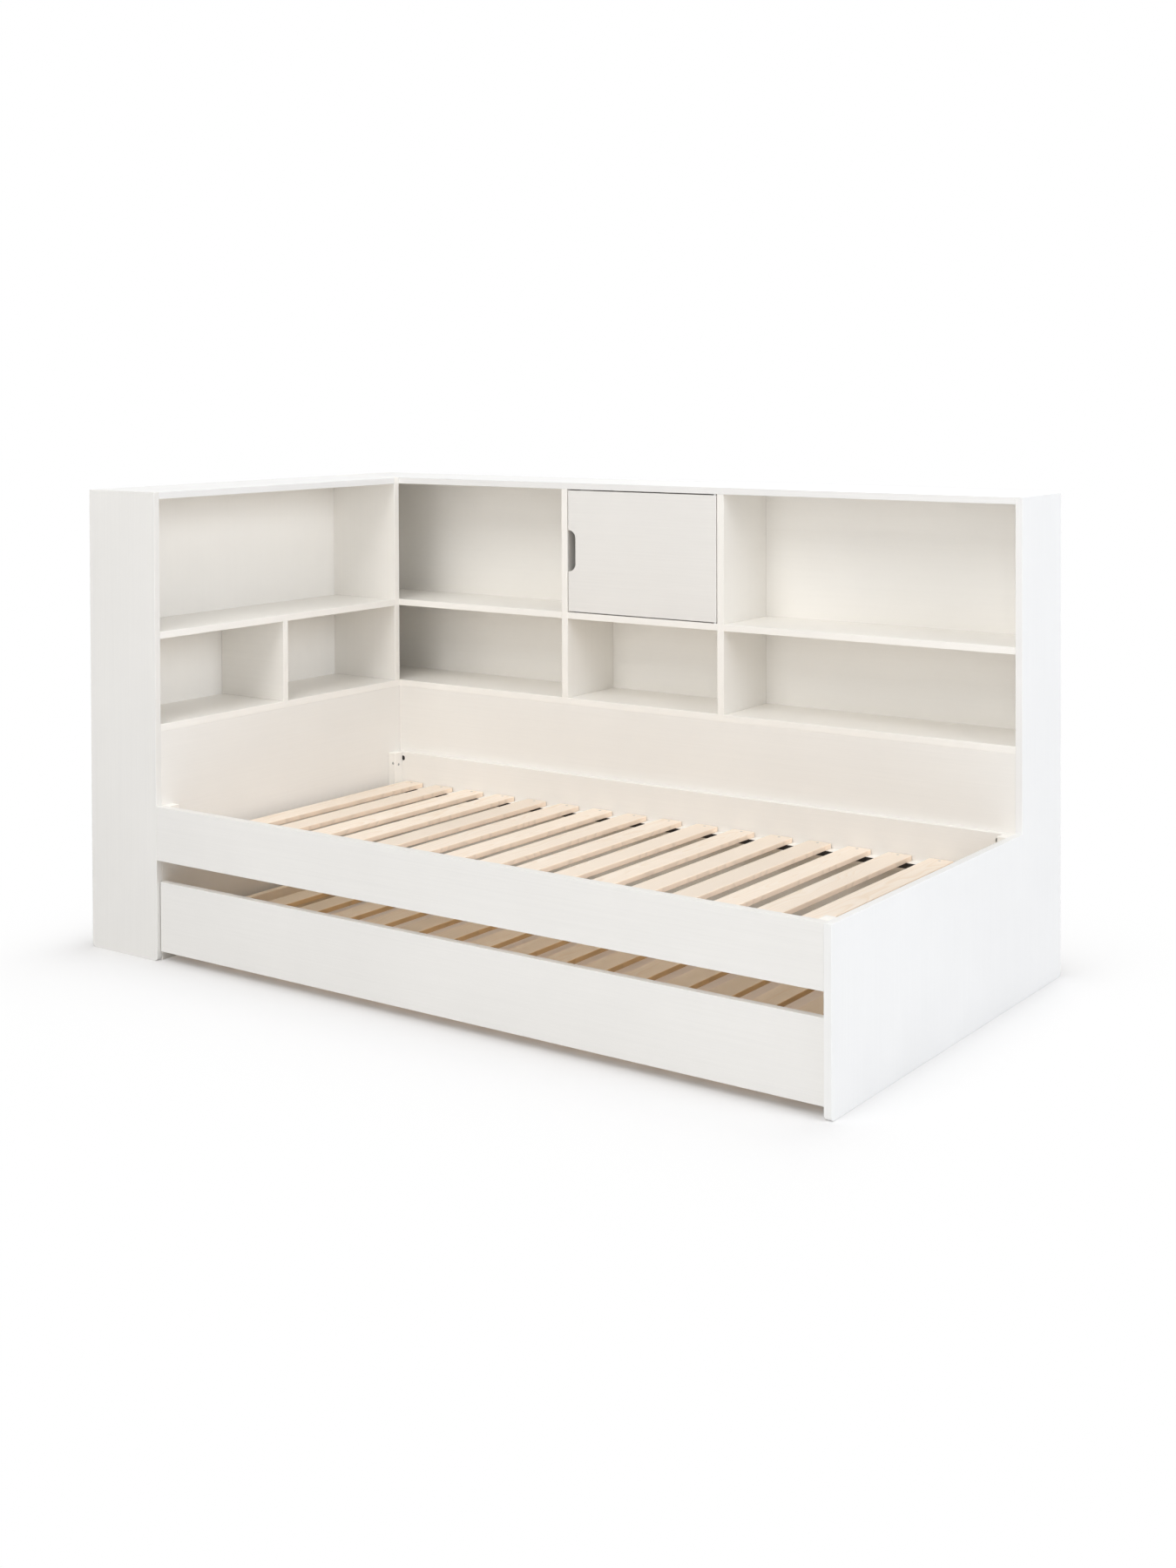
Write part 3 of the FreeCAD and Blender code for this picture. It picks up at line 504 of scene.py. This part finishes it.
# The cams' near-black is partly dark zinc, partly painted shade of their recesses.
cam_zinc_painted_shade = speckled("die_cast_zinc_painted_shade", (0.045, 0.040, 0.036), 1200.0, 0.5, 0.0)
black_moulding = speckled("black_moulding", (0.035, 0.035, 0.036), 2500.0, 0.45, 0.0)
white_moulding = speckled("white_moulding", (0.78, 0.78, 0.76), 2500.0, 0.4, 0.0)
print("hardware finishes ready")

# %% [markdown]
# ## Helpers for Geometry Nodes
#
# Screws, and the ribs of a roller, repeat by a rule, so node trees make them: a tree takes sizes
# by name, and the same tree gives every copy. A tree can also go wrong quietly if a modifier input
# is set by its label, because the modifier knows its inputs only by identifier. One helper makes
# the object, sets the inputs before anything is evaluated, and keeps the result as a plain mesh.

# %% Geometry Nodes helpers
def link_all(tree, *pairs):
    for source, target in pairs:
        tree.links.new(source, target)


def run_tree(name, tree, start_mesh, values, body, node):
    """Evaluates a tree on a start mesh and leaves a plain mesh that rides on a body."""
    carrier = bpy.data.objects.new(name + "_start", start_mesh)
    bpy.context.scene.collection.objects.link(carrier)
    modifier = carrier.modifiers.new("shape", "NODES")
    modifier.node_group = tree
    for item in tree.interface.items_tree:
        if item.in_out == "INPUT" and item.name in values:
            modifier[item.identifier] = values[item.name]
    shaped = carrier.evaluated_get(bpy.context.evaluated_depsgraph_get())
    mesh = bpy.data.meshes.new_from_object(shaped)
    mesh.name = name
    carrier.modifiers.remove(modifier)
    bpy.data.objects.remove(carrier)
    piece = bpy.data.objects.new(name, mesh)
    bpy.context.scene.collection.objects.link(piece)
    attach(piece, body)
    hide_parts(node)
    low = [min(v.co[i] for v in mesh.vertices) for i in range(3)]
    high = [max(v.co[i] for v in mesh.vertices) for i in range(3)]
    outside = max(max(a - b for a, b in zip(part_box(node)[0], low)),
                  max(a - b for a, b in zip(high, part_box(node)[1])))
    print("%s: %d faces, past the solid's box by %.2f mm" % (name, len(mesh.polygons),
                                                           outside * 1000))
    return piece


print("tree helpers ready")

# %% [markdown]
# ## Where the screws are
#
# The solids already say where every screw sits. Each screw is a separate shell of one node, so
# following faces that touch finds them one by one. A screw is longest along its axis, and its head
# is the wider end. That gives a point for the head, a direction to drive in and a length, and the
# dressed screws stay exactly where the solid ones are, even if the bed is built in another size.

# %% Find the screws
AXES = (Vector((1, 0, 0)), Vector((0, 1, 0)), Vector((0, 0, 1)))
MERGE = 1e-6
SAME_PLANE = 1e-5


def shells(node):
    """Vertex places of each separate shell of a node, from a merged copy of its mesh."""
    copy = bmesh.new()
    copy.from_mesh(boards[node].data)
    bmesh.ops.remove_doubles(copy, verts=copy.verts, dist=MERGE)
    waiting = set(copy.verts)
    found = []
    while waiting:
        edge_of_search = [waiting.pop()]
        shell = []
        while edge_of_search:
            vertex = edge_of_search.pop()
            shell.append(vertex.co.copy())
            for edge in vertex.link_edges:
                other = edge.other_vert(vertex)
                if other in waiting:
                    waiting.remove(other)
                    edge_of_search.append(other)
        found.append(shell)
    copy.free()
    return found


def screw_from_shell(shell):
    """Centre of the head's face, driving direction and length."""
    low = Vector([min(place[i] for place in shell) for i in range(3)])
    high = Vector([max(place[i] for place in shell) for i in range(3)])
    spans = high - low
    axis = max(range(3), key=lambda i: spans[i])
    middle = (low + high) / 2

    def radius_at(at):
        end = [place for place in shell if abs(place[axis] - at) < SAME_PLANE]
        return max((place - middle - (place - middle).project(AXES[axis])).length
                   for place in end)

    head_is_low = radius_at(low[axis]) > radius_at(high[axis])
    head_at, way = (low[axis], 1) if head_is_low else (high[axis], -1)
    head = middle.copy()
    head[axis] = head_at
    return head, AXES[axis] * way, spans[axis]


def screw_cloud(node):
    """A mesh of loose points, one for each screw, with its direction and length."""
    screws = sorted((screw_from_shell(shell) for shell in shells(node)),
                    key=lambda screw: tuple(round(part, 5) for part in screw[0]))
    cloud = bpy.data.meshes.new(node + "_heads")
    cloud.from_pydata([head for head, way, length in screws], [], [])
    cloud.attributes.new("driven", "FLOAT_VECTOR", "POINT")
    cloud.attributes.new("length", "FLOAT", "POINT")
    cloud.attributes["driven"].data.foreach_set(
        "vector", [part for head, way, length in screws for part in way])
    cloud.attributes["length"].data.foreach_set(
        "value", [length for head, way, length in screws])
    print("%s: %d screws, %s mm long" % (node, len(screws), sorted(
        {round(length * 1000) for head, way, length in screws})))
    return cloud


bed_screw_cloud = screw_cloud("bed_screws")
trundle_screw_cloud = screw_cloud("trundle_screws")

# %% [markdown]
# ## The screw tree
#
# A countersunk wood screw is a cone for the head, a shank with a thread, and a cross recess that
# the driver fits. The heads are all alike, so one is made and set on every point. The recess is
# carved out of that one head with a Boolean before it is copied, because a Boolean on every screw
# would be slow. The recess tool is two thin blocks, crossed, whose far ends are drawn in, as a
# driver's tip is. Real screws stop at any angle, so each head is turned by its own amount, from a
# fixed seed.

# %% Screw tree: the head
DRAWN_IN = -0.45            # how much narrower the recess is at its far end


def named(tree, name, data_type):
    node = add(tree, "GeometryNodeInputNamedAttribute", {"Name": name}, data_type=data_type)
    return node.outputs["Attribute"]


def recess_block(tree, length, width, depth):
    """A block centred on the head's face that tapers on its way in, towards +Z."""
    sizes = add(tree, "ShaderNodeCombineXYZ", {0: length, 1: width, 2: depth})
    cube = add(tree, "GeometryNodeMeshCube", {"Size": sizes.outputs[0]})
    parts = add(tree, "ShaderNodeSeparateXYZ",
                {0: add(tree, "GeometryNodeInputPosition").outputs[0]})
    deep = math_node(tree, "GREATER_THAN", parts.outputs[2], 0.0)
    narrow = math_node(tree, "MULTIPLY_ADD", deep, DRAWN_IN, 1.0)
    drawn_in = add(tree, "ShaderNodeCombineXYZ",
                   {0: math_node(tree, "MULTIPLY", parts.outputs[0], narrow),
                    1: math_node(tree, "MULTIPLY", parts.outputs[1], narrow),
                    2: parts.outputs[2]})
    return add(tree, "GeometryNodeSetPosition", {"Geometry": cube.outputs[0],
                                                 "Position": drawn_in.outputs[0]}).outputs[0]


screw_tree, given, result = new_group("countersunk_screws", "GeometryNodeTree", [
    ("Heads", "INPUT", "NodeSocketGeometry", None),
    ("Head Radius", "INPUT", "NodeSocketFloat", 0.004),
    ("Head Height", "INPUT", "NodeSocketFloat", 0.003),
    ("Shank Radius", "INPUT", "NodeSocketFloat", 0.002),
    ("Thread Step", "INPUT", "NodeSocketFloat", 0.0015),
    ("Thread Depth", "INPUT", "NodeSocketFloat", 0.0005),
    ("Recess Length", "INPUT", "NodeSocketFloat", 0.0046),
    ("Recess Width", "INPUT", "NodeSocketFloat", 0.0011),
    ("Recess Depth", "INPUT", "NodeSocketFloat", 0.0020),
    ("Head Sides", "INPUT", "NodeSocketInt", 20),
    ("Shank Sides", "INPUT", "NodeSocketInt", 8),
    ("Seed", "INPUT", "NodeSocketInt", 3),
    ("Metal", "INPUT", "NodeSocketMaterial", None),
    ("Screws", "OUTPUT", "NodeSocketGeometry", None),
])
g = screw_tree
size = given.outputs
cone = add(g, "GeometryNodeMeshCone", {"Vertices": size["Head Sides"],
                                       "Radius Top": size["Shank Radius"],
                                       "Radius Bottom": size["Head Radius"],
                                       "Depth": size["Head Height"]})
twice_deep = math_node(g, "MULTIPLY", size["Recess Depth"], 2.0)
carved = add(g, "GeometryNodeMeshBoolean", {"Mesh 1": cone.outputs["Mesh"]},
             operation="DIFFERENCE", solver="EXACT")
link_all(g, (recess_block(g, size["Recess Length"], size["Recess Width"], twice_deep),
             carved.inputs["Mesh 2"]),
         (recess_block(g, size["Recess Width"], size["Recess Length"], twice_deep),
          carved.inputs["Mesh 2"]))
turned = add(g, "FunctionNodeAlignRotationToVector",
             {"Vector": named(g, "driven", "FLOAT_VECTOR")}, axis="Z")
any_turn = add(g, "FunctionNodeRandomValue", {"Seed": size["Seed"]}, data_type="FLOAT")
any_turn.inputs[3].default_value = math.pi
spin = add(g, "FunctionNodeAxisAngleToRotation", {"Axis": (0, 0, 1),
                                                  "Angle": any_turn.outputs[1]})
spun = add(g, "FunctionNodeRotateRotation", {0: turned.outputs[0], 1: spin.outputs[0]},
           rotation_space="LOCAL")
heads = add(g, "GeometryNodeInstanceOnPoints", {"Points": size["Heads"],
                                                "Instance": carved.outputs[0],
                                                "Rotation": spun.outputs[0]})
print("screw head:", len(g.nodes), "nodes")

# %% [markdown]
# The shank is swept. A straight line stands on every point, as long as that screw. Resampling it
# to steps of half a thread gives it rings, and each ring's radius comes from how far along it
# lies: it goes in and out, for ridges that stand for the thread, and shrinks to the tip. Sweeping
# a circle along the line turns that into a body, which starts inside the head.

# %% Screw tree: the shank
TIP_START = 0.86            # of the shank's length
TIP_SIZE = 0.2              # of the shank's radius

longer = math_node(g, "SUBTRACT", named(g, "length", "FLOAT"), size["Recess Depth"])
stretch = add(g, "ShaderNodeCombineXYZ", {0: 1.0, 1: 1.0, 2: longer})
below_recess = add(g, "ShaderNodeVectorMath", {0: named(g, "driven", "FLOAT_VECTOR"),
                                               "Scale": size["Recess Depth"]},
                   operation="SCALE")
sunk = add(g, "GeometryNodeSetPosition", {"Geometry": size["Heads"],
                                          "Offset": below_recess.outputs[0]})
unit_line = add(g, "GeometryNodeCurvePrimitiveLine", {"End": (0, 0, 1)})
lines = add(g, "GeometryNodeInstanceOnPoints",
            {"Points": sunk.outputs[0], "Instance": unit_line.outputs[0],
             "Rotation": turned.outputs[0], "Scale": stretch.outputs[0]})
real_lines = add(g, "GeometryNodeRealizeInstances", {0: lines.outputs[0]})
ringed = add(g, "GeometryNodeResampleCurve", {"Curve": real_lines.outputs[0],
                                              "Length": size["Thread Step"]}, mode="LENGTH")
along = add(g, "GeometryNodeSplineParameter")
in_or_out = math_node(g, "MODULO", along.outputs["Index"], 2.0)
ridged = math_node(g, "SUBTRACT", size["Shank Radius"],
                   math_node(g, "MULTIPLY", in_or_out, size["Thread Depth"]))
tip_part = add(g, "ShaderNodeMapRange", {"Value": along.outputs["Factor"],
                                         "From Min": TIP_START, "From Max": 1.0,
                                         "To Min": 1.0, "To Max": TIP_SIZE})
outline = add(g, "GeometryNodeCurvePrimitiveCircle", {"Resolution": size["Shank Sides"],
                                                      "Radius": 1.0})
shanks = add(g, "GeometryNodeCurveToMesh",
             {"Curve": ringed.outputs[0], "Profile Curve": outline.outputs[0],
              "Scale": math_node(g, "MULTIPLY", ridged, tip_part.outputs[0]),
              "Fill Caps": True})
both = add(g, "GeometryNodeJoinGeometry")
link_all(g, (heads.outputs[0], both.inputs[0]), (shanks.outputs[0], both.inputs[0]))
whole = add(g, "GeometryNodeRealizeInstances", {0: both.outputs[0]})
plated = add(g, "GeometryNodeSetMaterial", {"Geometry": whole.outputs[0],
                                            "Material": size["Metal"]})
link_all(g, (plated.outputs[0], result.inputs["Screws"]))

for name, cloud, body, node in (
        ("bed_screw_set", bed_screw_cloud, "bed", "bed_screws"),
        ("trundle_screw_set", trundle_screw_cloud, "trundle", "trundle_screws")):
    run_tree(name, screw_tree, cloud, {"Metal": zinc_plate}, body, node)

# %% [markdown]
# ## The roller tree
#
# A furniture roller is moulded in one piece: a hub round the axle, a thin web, a tread, and ribs
# that keep the web stiff. A solid disc would use too much plastic and sink as it cools. Everything
# but the ribs is round, so one section, drawn as a loop of edges, is swept round the axle. The
# ribs are blocks set on a ring of points and turned to face outwards, and a Boolean melts them
# into the web so that the wheel is one closed skin.

# %% Roller tree
roller_tree, given, result = new_group("ribbed_roller", "GeometryNodeTree", [
    ("Section", "INPUT", "NodeSocketGeometry", None),
    ("Bore Radius", "INPUT", "NodeSocketFloat", 0.00405),
    ("Rib Ring Radius", "INPUT", "NodeSocketFloat", 0.0140),
    ("Rib Length", "INPUT", "NodeSocketFloat", 0.0130),
    ("Rib Thickness", "INPUT", "NodeSocketFloat", 0.0016),
    ("Rib Width", "INPUT", "NodeSocketFloat", 0.0160),
    ("Ribs", "INPUT", "NodeSocketInt", 8),
    ("Segments", "INPUT", "NodeSocketInt", 64),
    ("Centre", "INPUT", "NodeSocketVector", None),
    ("Plastic", "INPUT", "NodeSocketMaterial", None),
    ("Roller", "OUTPUT", "NodeSocketGeometry", None),
])
g = roller_tree
size = given.outputs
section_curve = add(g, "GeometryNodeMeshToCurve", {0: size["Section"]})
round_axle = add(g, "GeometryNodeCurvePrimitiveCircle", {"Resolution": size["Segments"],
                                                         "Radius": size["Bore Radius"]})
swept = add(g, "GeometryNodeCurveToMesh", {"Curve": round_axle.outputs[0],
                                           "Profile Curve": section_curve.outputs[0]})
rib_ring = add(g, "GeometryNodeCurvePrimitiveCircle", {"Resolution": size["Ribs"],
                                                       "Radius": size["Rib Ring Radius"]})
rib_points = add(g, "GeometryNodeCurveToPoints", {"Curve": rib_ring.outputs[0]},
                 mode="EVALUATED")
outwards = add(g, "FunctionNodeAlignRotationToVector",
               {"Vector": add(g, "GeometryNodeInputPosition").outputs[0]}, axis="X")
rib_size = add(g, "ShaderNodeCombineXYZ", {0: size["Rib Length"], 1: size["Rib Thickness"],
                                           2: size["Rib Width"]})
rib = add(g, "GeometryNodeMeshCube", {"Size": rib_size.outputs[0]})
ribs = add(g, "GeometryNodeInstanceOnPoints", {"Points": rib_points.outputs[0],
                                               "Instance": rib.outputs[0],
                                               "Rotation": outwards.outputs[0]})
real_ribs = add(g, "GeometryNodeRealizeInstances", {0: ribs.outputs[0]})
melted = add(g, "GeometryNodeMeshBoolean", {"Self Intersection": True}, operation="UNION",
             solver="EXACT")
link_all(g, (swept.outputs[0], melted.inputs["Mesh 2"]),
         (real_ribs.outputs[0], melted.inputs["Mesh 2"]))
placed = add(g, "GeometryNodeTransform", {"Geometry": melted.outputs[0],
                                          "Translation": size["Centre"]})
placed.inputs["Rotation"].default_value = (0, math.pi / 2, 0)
whole = add(g, "GeometryNodeRealizeInstances", {0: placed.outputs[0]})
moulded = add(g, "GeometryNodeSetMaterial", {"Geometry": whole.outputs[0],
                                             "Material": size["Plastic"]})
link_all(g, (moulded.outputs[0], result.inputs["Roller"]))
print("roller tree:", len(g.nodes), "nodes")

# %% [markdown]
# The section is drawn from the bore outwards, in the order that turns its faces out: the hub, the
# web, the tread with rounded rims and a slight crown, and back along the other side.

# %% Rollers
BORE = 0.00405
HUB_RADIUS = 0.0085
HUB_RECESS = 0.0005
HUB_CHAMFER = 0.0005
HUB_DRAFT = 0.0004
WEB_HALF = 0.0016
TREAD_INNER = 0.0195
TREAD_DRAFT = 0.0006
LIP_HEIGHT = 0.0012
LIP_SLOPE = 0.0008
RIM = 0.0020
CROWN = 0.0003
RIM_STEPS = 4


def roller_section(radius, half_width, bore):
    """Half of the loop from the bore to the crown, then the same mirrored."""
    hub_side = half_width - HUB_RECESS
    half = [(bore, hub_side), (HUB_RADIUS - HUB_CHAMFER, hub_side),
            (HUB_RADIUS, hub_side - HUB_CHAMFER), (HUB_RADIUS + HUB_DRAFT, WEB_HALF),
            (TREAD_INNER - TREAD_DRAFT, WEB_HALF), (TREAD_INNER, half_width - LIP_HEIGHT),
            (TREAD_INNER + LIP_SLOPE, half_width)]
    side = radius - CROWN
    for step in range(RIM_STEPS + 1):
        angle = math.pi / 2 * step / RIM_STEPS
        half.append((side - RIM + RIM * math.sin(angle),
                     half_width - RIM + RIM * math.cos(angle)))
    half.append((radius, 0.0))
    loop = half + [(r, -w) for r, w in reversed(half[:-1])]
    mesh = bpy.data.meshes.new("roller_section")
    mesh.from_pydata([(r - bore, w, 0) for r, w in loop],
                     [(i, (i + 1) % len(loop)) for i in range(len(loop))], [])
    return mesh


for place in ("front_left", "front_right", "rear_left", "rear_right"):
    node = "roller_" + place
    low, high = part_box(node)
    section = roller_section((high.z - low.z) / 2, (high.x - low.x) / 2, BORE)
    run_tree("ribbed_" + node, roller_tree, section,
             {"Centre": tuple((low + high) / 2), "Bore Radius": BORE, "Plastic": black_moulding},
             node, node)

# %% [markdown]
# ## Which finish goes on which board
#
# A CAD node keeps its mesh and only gets a better finish. The fibres of a board run along its
# longest side, which its box gives. Nodes that hold several solids have a box that misleads, so
# those are listed as upright or lengthwise. Two tables name the rest: the fittings and ledgers
# with a finish of their own, and the boards whose white isn't the shelves'.

# %% Dress the boards
def longest_way(node):
    low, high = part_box(node)
    spans = [high[i] - low[i] for i in range(3)]
    return "XYZ"[spans.index(max(spans))]


def dress(node, finish):
    for material_slot in boards[node].material_slots:
        material_slot.material = finish


OWN_FINISH = {"cam_fittings": cam_zinc_painted_shade, "door_pivots": zinc_plate, "door_catch": white_moulding,
              "roller_brackets": zinc_plate, "roller_axles": zinc_plate,
              "slat_ledgers": ledger_finish}
# These whites are painted light and shade, as the tones above are.
WHITES = {"end_panel": end_white_painted_shade, "front_rail": front_white_painted_shade, "trundle_front": front_white_painted_shade,
          "headboard_front_side": front_white_painted_shade, "cupboard_door": front_white_painted_shade,
          "headboard_top": end_white_painted_shade, "rear_top": end_white_painted_shade,
          "rear_rail": panel_white_painted_warm_light, "rear_lower_panel": panel_white_painted_warm_light,
          "headboard_lower_panel": panel_white_painted_warm_light, "trundle_left_end": box_tan_painted_warm_shade,
          "trundle_right_end": box_tan_painted_warm_shade, "trundle_rear": box_tan_painted_warm_shade,
          "trundle_ledgers": box_tan_painted_warm_shade}
UPRIGHT = ("corner_blocks", "rear_lower_partitions")
LENGTHWISE = ("trundle_ledgers",)
visible = [node for node in boards if not boards[node].hide_render]
for node in visible:
    way = "Z" if node in UPRIGHT else "X" if node in LENGTHWISE else longest_way(node)
    if node in OWN_FINISH:
        dress(node, OWN_FINISH[node])
    elif node.startswith("bed_slat"):
        dress(node, bed_pine)
    elif node == "trundle_slats":
        dress(node, trundle_pine_painted_shade)
    elif node.endswith("_back"):
        dress(node, sheet_white_painted_light[way])
    else:
        dress(node, WHITES.get(node, shelf_white_painted_light)[way])
print("dressed", len(visible), "pieces")

# %% [markdown]
# ## Studio
#
# The bed stands on a white floor that runs into a white background. The camera sees a white world,
# and so do mirrors and glass, but the light that the world gives is weak and even, so that the
# lamps do the lighting. A Light Path node tells the two kinds of ray apart.

# %% World
def seen_by_camera(tree):
    """1 for a ray from the camera, straight, mirrored or through glass, and 0 for lighting."""
    rays = add(tree, "ShaderNodeLightPath")
    return math_node(tree, "MAXIMUM", rays.outputs["Is Camera Ray"],
                     math_node(tree, "MAXIMUM", rays.outputs["Is Glossy Ray"],
                               rays.outputs["Is Transmission Ray"]))


world = bpy.data.worlds.new("white_studio")
bpy.context.scene.world = world
world.use_nodes = True
sky = world.node_tree
sky.nodes.clear()
room_light = add(sky, "ShaderNodeBackground", {"Color": (1.0, 0.985, 0.965, 1),
                                               "Strength": 0.12})
white_wall = add(sky, "ShaderNodeBackground", {"Color": (1, 1, 1, 1), "Strength": 1.0})
which = add(sky, "ShaderNodeMixShader", {0: seen_by_camera(sky), 1: room_light.outputs[0],
                                         2: white_wall.outputs[0]})
add(sky, "ShaderNodeOutputWorld", {"Surface": which.outputs[0]})
print("world light", room_light.inputs["Strength"].default_value)

# %% [markdown]
# The shadows in the photo are soft, and the bed's right side is its coolest white. So all eight
# lamps are large: three overhead, two in front, two bluish ones like windows on the right, and one
# behind, which lights the back for views from there. All of them aim at the bed's middle.

# %% Lamps
AIM = Vector((0.0, 0.0, 0.5))
NEARLY_DAYLIGHT = (0.99, 1.0, 1.02)
DAYLIGHT = (0.965, 1.0, 1.06)


def soft_lamp(name, place, size, power, colour=(1, 1, 1)):
    lamp = bpy.data.lights.new(name, "AREA")
    lamp.shape = "SQUARE"
    lamp.size = size
    lamp.energy = power
    lamp.color = colour
    stand = bpy.data.objects.new(name, lamp)
    direction = AIM - Vector(place)
    stand.matrix_world = (Matrix.Translation(place)
                          @ direction.to_track_quat("-Z", "Y").to_matrix().to_4x4())
    bpy.context.scene.collection.objects.link(stand)
    return stand


lamps = [
    soft_lamp("overhead", (0.0, 0.0, 7.3), 6.8, 125),
    soft_lamp("overhead_front", (0.2, -5.1, 6.45), 5.1, 275),
    soft_lamp("overhead_rear", (0.0, 5.1, 6.45), 5.1, 130),
    soft_lamp("front", (0.0, -7.5, 1.9), 4.0, 92),
    soft_lamp("front_right", (3.5, -6.5, 2.2), 3.5, 34, NEARLY_DAYLIGHT),
    soft_lamp("window_right", (6.6, -0.8, 3.2), 3.5, 165, DAYLIGHT),
    soft_lamp("window_far_right", (9.0, 2.5, 3.0), 4.5, 125, DAYLIGHT),
    soft_lamp("rear_bounce", (-1.0, 7.5, 2.6), 5.0, 150),
]
print(len(lamps), "soft lamps")

# %% [markdown]
# In the photo the ground is shaded close to the bed and plain white farther off, and tan where it
# shows between the slats and under the trundle. So the floor shows its own lit colour, with the
# bed's shadow on it, near the footprint, and fades to white with the distance from it. That fade
# is wider in front than at the ends, as in the photo. Inside the footprint the paper turns tan,
# which is painted warm shade under the bed. Close to the bed the floor also glows a little:
# painted light that lifts its shade. The floor that the lamps light is a little paler than the
# one that the camera sees.

# %% Floor
FLOOR_HALF = 30
FADE = -7.5                       # the lit floor's share falls by e each 1 / 7.5 m
END_STRETCH = (1.8, 1.0, 1.0)     # past the bed's ends, a distance counts this much more
TAN_ALL, TAN_NONE = -0.10, -0.03  # metres inside the footprint
# The tan inside the footprint is painted warm shade under the bed.
PAPER_SEEN, PAINTED_WARM_SHADE_SEEN = (0.76, 0.76, 0.76, 1), (0.92, 0.78, 0.62, 1)
PAPER_BOUNCE, PAINTED_WARM_SHADE_BOUNCE = (0.85, 0.85, 0.85, 1), (0.94, 0.80, 0.62, 1)

floor_mesh = bpy.data.meshes.new("studio_floor")
corners = [(-FLOOR_HALF, -FLOOR_HALF, 0), (FLOOR_HALF, -FLOOR_HALF, 0),
           (FLOOR_HALF, FLOOR_HALF, 0), (-FLOOR_HALF, FLOOR_HALF, 0)]
floor_mesh.from_pydata(corners, [], [(0, 1, 2, 3)])
floor = bpy.data.objects.new("studio_floor", floor_mesh)
bpy.context.scene.collection.objects.link(floor)
paper = bpy.data.materials.new("white_paper")
paper.use_nodes = True
tree = paper.node_tree
tree.nodes.clear()
place = add(tree, "ShaderNodeTexCoord")
on_plan = add(tree, "ShaderNodeVectorMath", {0: place.outputs["Object"]}, operation="ABSOLUTE")
half_plan = [(high - low) / 2 for low, high in zip(*box_of_solids)]
past = add(tree, "ShaderNodeVectorMath", {0: on_plan.outputs[0],
                                          1: (half_plan[0], half_plan[1], 0.0)},
           operation="SUBTRACT")
outside = add(tree, "ShaderNodeVectorMath", {0: past.outputs[0]}, operation="MAXIMUM")
stretched = add(tree, "ShaderNodeVectorMath", {0: outside.outputs[0], 1: END_STRETCH},
                operation="MULTIPLY")
from_bed = add(tree, "ShaderNodeVectorMath", {0: stretched.outputs[0]}, operation="LENGTH")
shadow_share = math_node(tree, "EXPONENT",
                         math_node(tree, "MULTIPLY", from_bed.outputs["Value"], FADE))
sides = add(tree, "ShaderNodeSeparateXYZ", {0: past.outputs[0]})
nearest = math_node(tree, "MAXIMUM", sides.outputs[0], sides.outputs[1])
under_bed_painted_shade = add(tree, "ShaderNodeMapRange", {"Value": nearest, "From Min": TAN_ALL,
                                         "From Max": TAN_NONE, "To Min": 1.0, "To Max": 0.0})
paper_tone = colour_mix(tree, under_bed_painted_shade.outputs[0], PAPER_SEEN, PAINTED_WARM_SHADE_SEEN)
bounce_tone = colour_mix(tree, under_bed_painted_shade.outputs[0], PAPER_BOUNCE, PAINTED_WARM_SHADE_BOUNCE)
plain = add(tree, "ShaderNodeBsdfDiffuse", {"Color": bounce_tone})
lit = add(tree, "ShaderNodeBsdfDiffuse", {"Color": paper_tone})
# The glow is painted light: it lifts the floor's shade close to the bed.
painted_light_glow = add(tree, "ShaderNodeEmission", {"Color": (1.0, 0.94, 0.90, 1), "Strength": 0.13})
near = add(tree, "ShaderNodeAddShader", {0: lit.outputs[0], 1: painted_light_glow.outputs[0]})
white = add(tree, "ShaderNodeEmission", {"Color": (1, 1, 1, 1), "Strength": 1.0})
both = add(tree, "ShaderNodeMixShader", {0: shadow_share, 1: white.outputs[0],
                                         2: near.outputs[0]})
chosen = add(tree, "ShaderNodeMixShader", {0: seen_by_camera(tree), 1: plain.outputs[0],
                                           2: both.outputs[0]})
add(tree, "ShaderNodeOutputMaterial", {"Surface": chosen.outputs[0]})
floor_mesh.materials.append(paper)

view = bpy.context.scene.view_settings
view.view_transform = "Standard"
print("floor and background are white for the camera")

# %% [markdown]
#
# The dressed bed has to stay inside the boards' own box, whose corners are printed here.

# %% Finish
print("box of the solids", [round(value, 3) for corner in box_of_solids for value in corner])
